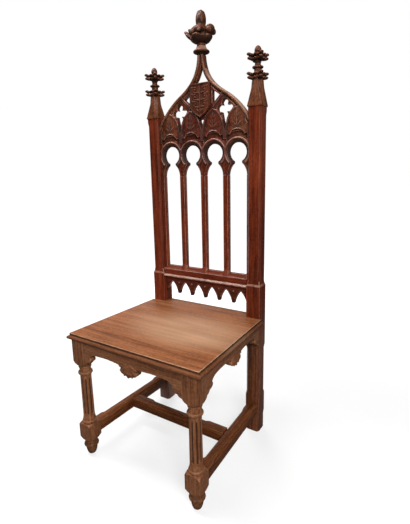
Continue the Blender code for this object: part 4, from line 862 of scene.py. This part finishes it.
# %% Arcs on the face of the board
def between_x(bm, low, high):
    """Keep what lies between two upright planes."""
    for x, way in ((low, -1), (high, 1)):
        everything = bm.verts[:] + bm.edges[:] + bm.faces[:]
        bmesh.ops.bisect_plane(bm, geom=everything, plane_co=(x, 0, 0), plane_no=(way, 0, 0),
                               clear_outer=True)
        bmesh.ops.holes_fill(bm, edges=[edge for edge in bm.edges if edge.is_boundary], sides=0)
    return bm


def face_arc(section, centre, side, degrees):
    """A moulding described for the right side, or its mirror image for the left."""
    start, end = [radians(angle if side > 0 else 180 - angle) for angle in degrees]
    return moulding(section, centre, min(start, end), max(start, end))


print("arcs can be swept, trimmed and mirrored")

# %% Carving of one bay
VEINS = ((0.010, 0.025, 0.020), (0.022, 0.020, 0.024), (0.036, 0.013, 0.022))   # root, reach and lift
HEAD_RELIEF_GAIN, GABLET_DUST_AND_SHADE = 1.8, 3.6        # gain of the relief on the head, and of the dust and painted shade in its gablets' hollows
DARK_SPLAY, DARK_BETWEEN = -0.8, -0.45      # relief inside the eyes, old polish and painted shade, and painted shade between two gablets


def hood(x):
    """The hood over an eye: a roll, and a slope that falls back from it to the board."""
    distance, thick = HOOD
    proud = FACE_Y - HOOD_PROUD
    slope = [(distance, proud), (distance, FACE_Y + 0.002), (0.060, FACE_Y + 0.002), (0.060, FACE_Y)]
    body = moulding(slope, (x, HOOD_Z), radians(20), radians(160))
    edge = moulding(roll(distance, thick, proud), (x, HOOD_Z), radians(58), radians(122))
    return [between_x(body, x - HALF_BAY, x + HALF_BAY), edge]


def gablet_leaf(bm, x):
    """A broad leaf that fills the gablet, with a midrib and three pairs of veins."""
    lobe(bm, (x, FACE_Y, LEAF_FOOT - 0.006), (x, FACE_Y, LEAF_FOOT + 0.074), 0.070, 0.0110)
    lobe(bm, (x, FACE_Y - 0.005, LEAF_FOOT + 0.008), (x, FACE_Y - 0.004, LEAF_FOOT + 0.064), 0.0050, 0.0040)
    for side in (-1, 1):
        for rise, reach, lift in VEINS:
            root = (x + side * 0.002, FACE_Y - 0.0050, LEAF_FOOT + rise)
            lobe(bm, root, (x + side * reach, FACE_Y - 0.0025, LEAF_FOOT + rise + lift), 0.0075, 0.0040)


def wedge(bm, corners):
    """A flat three-cornered cutter that goes through the board."""
    near, far = FACE_Y - 0.012, FACE_Y + 0.030
    front, back = [[bm.verts.new((x, y, z)) for x, z in corners] for y in (near, far)]
    for face in (front, back[::-1]):
        bm.faces.new(face)
    for k in range(3):
        bm.faces.new((front[k - 1], back[k - 1], back[k], front[k])[::-1])


def polish_shade_and_highlights(vert, level):
    """Inside the eyes old polish and painted shade, between the gablets painted shade, in the gablets'
    hollows dust and painted shade; the tops of the rolls get a painted highlight.
    """
    x = vert.co.x - (round(vert.co.x / BAY - 0.5) + 0.5) * BAY
    from_roll = Vector((x, vert.co.z - EYE_Z)).length - EYE_ROLL[0]
    if abs(vert.co.z - JOINT_Z) < 0.003:
        return 0.0
    # Inside the eyes: old polish and painted shade
    if from_roll < -EYE_ROLL[1] and vert.co.y > FACE_Y + 0.0006:
        return min(level, DARK_SPLAY)
    # Tops of the rolls round the eyes: a painted highlight
    if abs(from_roll) < EYE_ROLL[1] and vert.co.y < FACE_Y - 0.001:
        return level + max(0.0, vert.normal.z)
    # Between the gablets: painted shade
    if abs(x) > HALF_BAY - 0.001 and vert.co.z > HOOD_Z:
        return min(level, DARK_BETWEEN)
    # In the gablets' hollows: dust and painted shade
    return level * (GABLET_DUST_AND_SHADE if level < 0 and vert.co.z > LEAF_FOOT else HEAD_RELIEF_GAIN)


print("a gablet leaf has", len(VEINS), "pairs of veins")

# %% Tracery head
SLOPING_BAR = ((0.0470, 1.2130), (0.0900, 1.2540))                  # from the shield up to the arch
BAR_APART, BAR_RADIUS = 0.0034, 0.0026
CUSP_APART = 0.0176
CUSP_ROLL = (0.0150, 0.0030)                                        # distance and thickness
SLIT = ((-0.0140, 1.1900), (0.0, 1.1250), (0.0140, 1.1900))         # between an outer gablet and the next
DROP = ((-0.0120, 1.1710), (0.0, 1.1390), (0.0120, 1.1710))         # the hole under the shield

hollows, head_shapes, leaves = [], [], bmesh.new()
for bay in range(4):
    x = (bay - 1.5) * BAY
    distance, thick = EYE_ROLL
    eye = moulding(roll(distance, thick, FACE_Y - 0.0008), (x, EYE_Z), radians(-48), radians(228), 48)
    head_shapes.append(between_x(eye, -BOARD_HALF, BOARD_HALF))
    distance, thick = HOLLOW
    hollow = moulding(roll(distance, thick, FACE_Y - 0.001), (x, EYE_Z), radians(30), radians(150), 32)
    hollows.append(between_x(hollow, x - HALF_BAY, x + HALF_BAY))
    head_shapes += hood(x)
    gablet_leaf(leaves, x)
for side in (-1, 1):
    (x0, z0), (x1, z1) = SLOPING_BAR
    for step in (-BAR_APART, BAR_APART):
        rod(leaves, (side * x0, FACE_Y, z0 + step), (side * x1, FACE_Y, z1 + step), BAR_RADIUS)
    for way in (-1, 1):
        cusp = (side * BAY + way * CUSP_APART, CUSP_Z)
        head_shapes.append(face_arc(roll(*CUSP_ROLL, FACE_Y - 0.001), cusp, way, (240, 360)))
head_shapes.append(leaves)
tails = bmesh.new()
for x, corners in ((-BAY, SLIT), (BAY, SLIT), (0.0, DROP)):
    wedge(tails, [(x + across, z) for across, z in corners])
bmesh.ops.recalc_face_normals(tails, faces=tails.faces)
board = cut(whole_faces("tracery_head"), "DIFFERENCE", together(hollows))
head_shapes.append(cut(board, "DIFFERENCE", tails))
show("carved_tracery_head", carved("tracery_head", head_shapes, HEAD_GRAIN, polish_shade_and_highlights),
     finish_for("tracery_head", "Z"), "tracery_head", CARVED_SMOOTH)

# %% [markdown]
# ## Shield
# The shield hangs in the fork of the arch. Its field is filled with plain scrollwork: a stem, three pairs of
# scrolls with a berry in each, and small leaves in the corners that the scrolls leave. A bump in the finish
# would look flat from the side, so the scrolls are swept rolls and the rest are lobes, fused with the field.

# %% Shield
SCROLL_ROWS = ((0.094, 0.0205), (0.070, 0.0205), (0.046, 0.0180))   # height over its tip, and from the stem
SCROLL_ROLL = (0.0090, 0.0021)                                      # distance and thickness
SHIELD_GRAIN = 0.0010

low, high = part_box("shield")
field_y = low.y + 0.0026
sprig = bmesh.new()
scrolls = [sprig]
lobe(sprig, (0, field_y, low.z + 0.012), (0, field_y, high.z - 0.010), 0.0050, 0.0060)
for row, half in SCROLL_ROWS:
    berry = ((half - 0.003, -0.001), (half + 0.003, 0.001), 0.0062, 0.0064)
    stalk = ((0.002, -0.011), (half - 0.002, -0.0095), 0.0050, 0.0056)
    corner_leaf = ((half + 0.006, 0.006), (half + 0.014, 0.013), 0.0056, 0.0056)
    for side in (-1, 1):
        x, z = side * half, low.z + row
        scrolls.append(face_arc(roll(*SCROLL_ROLL, field_y + 0.0006), (x, z), side, (-120, 150)))
        for start, end, width, thick in (berry, stalk, corner_leaf):
            ends = [(side * across, field_y, z + rise) for across, rise in (start, end)]
            lobe(sprig, *ends, width, thick)
for side in (-1, 1):
    ends = [(side * across, field_y, low.z + rise) for across, rise in ((0.001, 0.016), (0.014, 0.030))]
    lobe(sprig, *ends, 0.0070, 0.0060)


def handled_little(vert, level):
    """High up on the back there is less wear."""
    return 0.3 * level - 0.15


show("carved_shield", carved("shield", [whole_faces("shield")] + scrolls, SHIELD_GRAIN, handled_little),
     finish_for("shield", "Z"), "shield", CARVED_SMOOTH)

# %% [markdown]
# ## Aprons and arcade
# Under the seat each apron has a leaf at its middle, carved on the sawn outline. Under the sill hangs a row
# of small pendants, each with a bulb at its tip and a carved boss between the arches. A leaf that is only
# laid on a board shows a seam. Fused with it into one skin, the leaf grows out of it, so the sawn boards come
# from the frame and take their leaves, rims and bosses in the same way as the head.

# %% Aprons
APRON_LEAF_TOP = 0.409
APRON_GRAIN = 0.0012
APRON_LOBES = ((0.017, 0.040, 0.013), (0.031, 0.029, 0.013), (0.037, 0.012, 0.011))     # reach, drop, width
LOBE_THICK = 0.0075


def apron_leaf(bm, middle, outward, along):
    """A hanging leaf: a middle lobe, and three pairs that fan out."""
    middle, outward, along = Vector(middle), Vector(outward), Vector(along)
    down = Vector((0, 0, -1))
    lobe(bm, middle, middle + down * 0.044, 0.016, LOBE_THICK, outward)
    for side in (-1, 1):
        for reach, drop, width in APRON_LOBES:
            lobe(bm, middle + along * side * 0.003 - down * 0.001,
                 middle + along * side * reach + down * drop, width, LOBE_THICK, outward)


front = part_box("front_apron")
leaf = bmesh.new()
apron_leaf(leaf, (0.0, front[0].y, APRON_LEAF_TOP), (0, -1, 0), (1, 0, 0))
show("carved_front_apron", carved("front_apron", [whole_faces("front_apron"), leaf], APRON_GRAIN),
     finish_for("front_apron", "X"), "front_apron", CARVED_SMOOTH)

LEG_BACK, POST_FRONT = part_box("front_leg_left")[1].y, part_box("rear_post_left")[0].y
for side, way in zip(BOTH, (-1, 1)):
    node = f"side_apron_{side}"
    outer = (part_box(f"front_leg_{side}"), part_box(f"rear_post_{side}"))
    edge = [box[1].x if way > 0 else box[0].x for box in outer]
    along = Vector((edge[1] - edge[0], POST_FRONT - LEG_BACK, 0)).normalized()
    middle = ((edge[0] + edge[1]) / 2 - way * 0.001, (LEG_BACK + POST_FRONT) / 2, APRON_LEAF_TOP)
    leaf = bmesh.new()
    apron_leaf(leaf, middle, (way, 0, 0), along)
    show(f"carved_{node}", carved(node, [whole_faces(node), leaf], APRON_GRAIN),
         finish_for(node, "Y"), node, CARVED_SMOOTH)

# %% Pendant arcade
low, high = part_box("pendant_arcade")
ARCHES = 6
RAIL_TENON = 0.020
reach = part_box("back_sill_rail")[0].x + RAIL_TENON
pitch = -2 * reach / ARCHES
TIP_HALF, ARCH_RISE, ARCH_BOW = 0.0052, 0.047, 0.0067
RIM_RADIUS = 0.0017
DARK_TIP = 0.013            # height of a pendant's nearly black tip
LONGER = 1.04               # the carved pendants reach a little lower than the sawn ones
ARCADE_GRAIN = 0.0010


def arch_rim(bm, foot, crown):
    """A rim along one side of an arch, which bows out from its chord."""
    across, up = crown[0] - foot[0], crown[1] - foot[1]
    away = Vector((-up if across > 0 else up, abs(across))).normalized() * ARCH_BOW
    points = []
    for share in (0.0, 0.2, 0.4, 0.6, 0.8, 1.0):
        swell = 0.30 + 0.70 * 4 * share * (1 - share)
        x = foot[0] + across * share + away.x * swell
        z = foot[1] + up * share + away.y * swell
        points.append((x, low.y, z))
    for pair in zip(points, points[1:]):
        rod(bm, *pair, RIM_RADIUS)


def dark_tips(vert, level):
    """The tips of the pendants are made nearly black, the ground between the rims a little dark, and the rest
    a little pale.
    """
    if vert.co.z < low.z + DARK_TIP:
        return level - 0.9
    return level - 0.35 if abs(vert.co.y - low.y) < 0.0006 else level + 0.2


rims, bosses = bmesh.new(), bmesh.new()
for k in range(ARCHES):
    left, middle, right = [reach + pitch * (k + share) for share in (0.0, 0.5, 1.0)]
    for foot in (left + TIP_HALF, right - TIP_HALF):
        arch_rim(rims, (foot, low.z), (middle, low.z + ARCH_RISE))
    if k:
        middle_y = (low.y + high.y) / 2
        lobe(bosses, (left, middle_y, low.z - 0.001), (left, middle_y, low.z + 0.012), 0.0125, 0.0135)
        lobe(bosses, (left, low.y, low.z + 0.040), (left, low.y, low.z + 0.049), 0.0080, 0.0070)
arcade = [whole_faces("pendant_arcade"), rims, bosses]
for bm in arcade:
    for vert in bm.verts:
        vert.co.z = high.z - LONGER * (high.z - vert.co.z)
show("carved_pendant_arcade", carved("pendant_arcade", arcade, ARCADE_GRAIN, dark_tips),
     finish_for("pendant_arcade", "X"), "pendant_arcade", CARVED_SMOOTH)

# %% [markdown]
# ## Finials
# The arch ends in a round cap, a bowl of curling leaves and a bud; each post ends in a spire with two crosses
# of forked leaves. Each leaf could be placed by hand. Here the turned parts are spun, and a lobe is described
# once, as so far out, aside and up, and then set on any bearings round the axis. That suits the crosses,
# whose leaves are alike, and also the bowl, whose left leaf was carved slimmer than the right one.


# %% Leaves round an axis
def around(bm, centre, start, end, width, thick, angles):
    """The same lobe on several bearings. Points are so far out, aside and up."""
    for angle in angles:
        out, aside = Vector((cos(angle), sin(angle), 0)), Vector((-sin(angle), cos(angle), 0))
        axis = Vector((*centre, 0))
        ends = [axis + out * p[0] + aside * p[1] + Vector((0, 0, p[2])) for p in (start, end)]
        lean = (ends[1] - ends[0]).cross(aside)
        lobe(bm, ends[0], ends[1], width, thick, lean)


def raised(points, height):
    """The same points, from another height."""
    return [(out, aside, height + up) for out, aside, up in points]


def shade_below_highlight_above(vert, level):
    """Undersides of the leaves get painted shade, and their tops a painted highlight."""
    return level - 0.7 if vert.normal.z < -0.1 else level + 0.6 * max(0.0, vert.normal.z) - 0.4


AXES = [k * pi / 2 for k in range(4)]
DIAGONALS = [angle + pi / 4 for angle in AXES]
RIGHT, LEFT, FRONT_AND_BACK = AXES[:1], AXES[2:3], AXES[1::2]
print("leaves can be set on", len(AXES + DIAGONALS), "bearings")

# %% Core of the centre finial
BUD_RADIUS, BUD_HEIGHT = 0.0190, 0.052
BUD_PROFILE = ((0.16, 0.86), (0.36, 0.96), (0.58, 0.88), (0.80, 0.58), (0.94, 0.25), (1.0, 0.0))

low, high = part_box("centre_finial")
centre = ((low.x + high.x) / 2, (low.y + high.y) / 2)
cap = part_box("ogee_limb_left")[1].z
leaf_foot = cap + 0.038
bud_foot = leaf_foot + 0.056
core = ([(0.0, cap - 0.030), (0.0050, cap - 0.030), (0.0050, cap + 0.0003), (0.0135, cap + 0.0003),
         (0.0200, cap + 0.0045), (0.0275, cap + 0.0075), (0.0290, cap + 0.0090), (0.0290, cap + 0.0130),
         (0.0280, cap + 0.0142), (0.0222, cap + 0.0172), (0.0200, cap + 0.0205), (0.0167, cap + 0.0265),
         (0.0145, leaf_foot)]
        + [(0.0190, leaf_foot + 0.006), (0.0235, leaf_foot + 0.018), (0.0235, leaf_foot + 0.036),
           (0.0170, bud_foot), (0.0160, bud_foot + 0.004)]
        + [(BUD_RADIUS * size, bud_foot + BUD_HEIGHT * share) for share, size in BUD_PROFILE])
print("core of the centre finial:", len(core), "points on its profile")

# %% Leaves of the centre finial
BOWL = ((AXES, (0.010, 0.0, 0.002), (0.042, 0.0, 0.024), 0.042, 0.018),
        (DIAGONALS, (0.010, 0.0, 0.003), (0.036, 0.0, 0.021), 0.036, 0.018))
FRONT_LEAF = (FRONT_AND_BACK, (0.004, 0.0, 0.037), (0.036, 0.0, 0.043), 0.050, 0.027)
SIDE_LEAF = ((RIGHT, (0.016, 0.0, 0.012), (0.044, 0.0, 0.036), 0.028, 0.022),
             (RIGHT, (0.019, 0.0, 0.036), (0.053, 0.0, 0.042), 0.034, 0.033))
SLIM_LEAF = ((LEFT, (0.024, 0.0, 0.012), (0.066, 0.0, 0.045), 0.024, 0.016),
             (LEFT, (0.048, 0.0, 0.036), (0.070, 0.0, 0.050), 0.018, 0.011),
             (LEFT, (0.038, 0.0, 0.036), (0.051, 0.0, 0.056), 0.018, 0.011),
             (LEFT, (0.026, 0.0, 0.036), (0.037, 0.0, 0.058), 0.018, 0.012))
CURLS_ASIDE = 0.014
FINIAL_GRAIN = 0.0010

foliage = bmesh.new()
for angles, start, end, width, thick in (*BOWL, FRONT_LEAF, *SIDE_LEAF, *SLIM_LEAF):
    around(foliage, centre, *raised((start, end), leaf_foot), width, thick, angles)
for aside in (-CURLS_ASIDE, CURLS_ASIDE):
    curl = raised(((0.026, aside, 0.046), (0.040, aside, 0.026)), leaf_foot)
    around(foliage, centre, *curl, 0.0180, 0.0110, FRONT_AND_BACK)
    fold = raised(((0.032, aside, 0.030), (0.050, aside, 0.038)), leaf_foot)
    around(foliage, centre, *fold, 0.0160, 0.0240, RIGHT)
bud_leaf = raised(((0.011, 0.0, -0.004), (0.0068, 0.0, 0.049)), bud_foot)
around(foliage, centre, *bud_leaf, 0.019, 0.019, DIAGONALS)


def cap_top_highlight(vert, level):
    """The top of the round cap is painted pale: a painted highlight."""
    if cap + 0.012 < vert.co.z < cap + 0.031 and vert.normal.z > 0.2:
        return 1.0
    return shade_below_highlight_above(vert, level)


show("carved_centre_finial",
     carved("centre_finial", [turn(core, centre), foliage], FINIAL_GRAIN, cap_top_highlight),
     finish_for("centre_finial", "Z"), "centre_finial", CARVED_SMOOTH)

# %% Pinnacle finials
LOWER_PRONG = ((0.006, 0.0, 0.006), (0.0365, 0.0, 0.0085))
UPPER_PRONG = ((0.006, 0.0, 0.017), (0.0385, 0.0, 0.0205))
CROSS_RISE = 0.058              # from the lower cross to the upper one
SPROUT_SHARE = 0.72             # the leaves between the prongs are so much shorter
PRONG_GRAIN = 0.0008

for side in BOTH:
    node = f"pinnacle_finial_{side}"
    low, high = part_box(node)
    centre = ((low.x + high.x) / 2, (low.y + high.y) / 2)
    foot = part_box(f"pinnacle_{side}")[1].z + 0.0003
    stem = ([(0.0, foot - 0.030), (0.0050, foot - 0.030), (0.0050, foot), (0.0185, foot),
             (0.0180, foot + 0.014), (0.0130, foot + 0.025), (0.0120, foot + 0.029), (0.0125, foot + 0.037)]
            + ring(0.0185, foot + 0.0405, 0.007)
            + [(0.0105, foot + 0.046), (0.0095, foot + 0.052), (0.0125, foot + 0.060), (0.0130, foot + 0.080),
               (0.0098, foot + 0.084), (0.0118, foot + 0.090), (0.0108, foot + 0.097), (0.0062, foot + 0.104),
               (0.0, foot + 0.1072)])
    prongs = bmesh.new()
    for base in (foot, foot + CROSS_RISE):
        for prong in (LOWER_PRONG, UPPER_PRONG):
            around(prongs, centre, *raised(prong, base), 0.0160, 0.0098, DIAGONALS)
            reach, _, up = prong[1]
            tip = (reach - 0.005, base + up + 0.0006)
            blunt = [(tip[0] + step, 0.0, tip[1]) for step in (-0.009, 0.005)]
            around(prongs, centre, *blunt, 0.0145, 0.0096, DIAGONALS)
            sprout = [(out * SPROUT_SHARE, aside, up) for out, aside, up in raised(prong, base)]
            around(prongs, centre, *sprout, 0.0130, 0.0078, AXES)
    show(f"carved_{node}", carved(node, [turn(stem, centre), prongs], PRONG_GRAIN, shade_below_highlight_above),
         finish_for(node, "Z"), node, CARVED_SMOOTH)
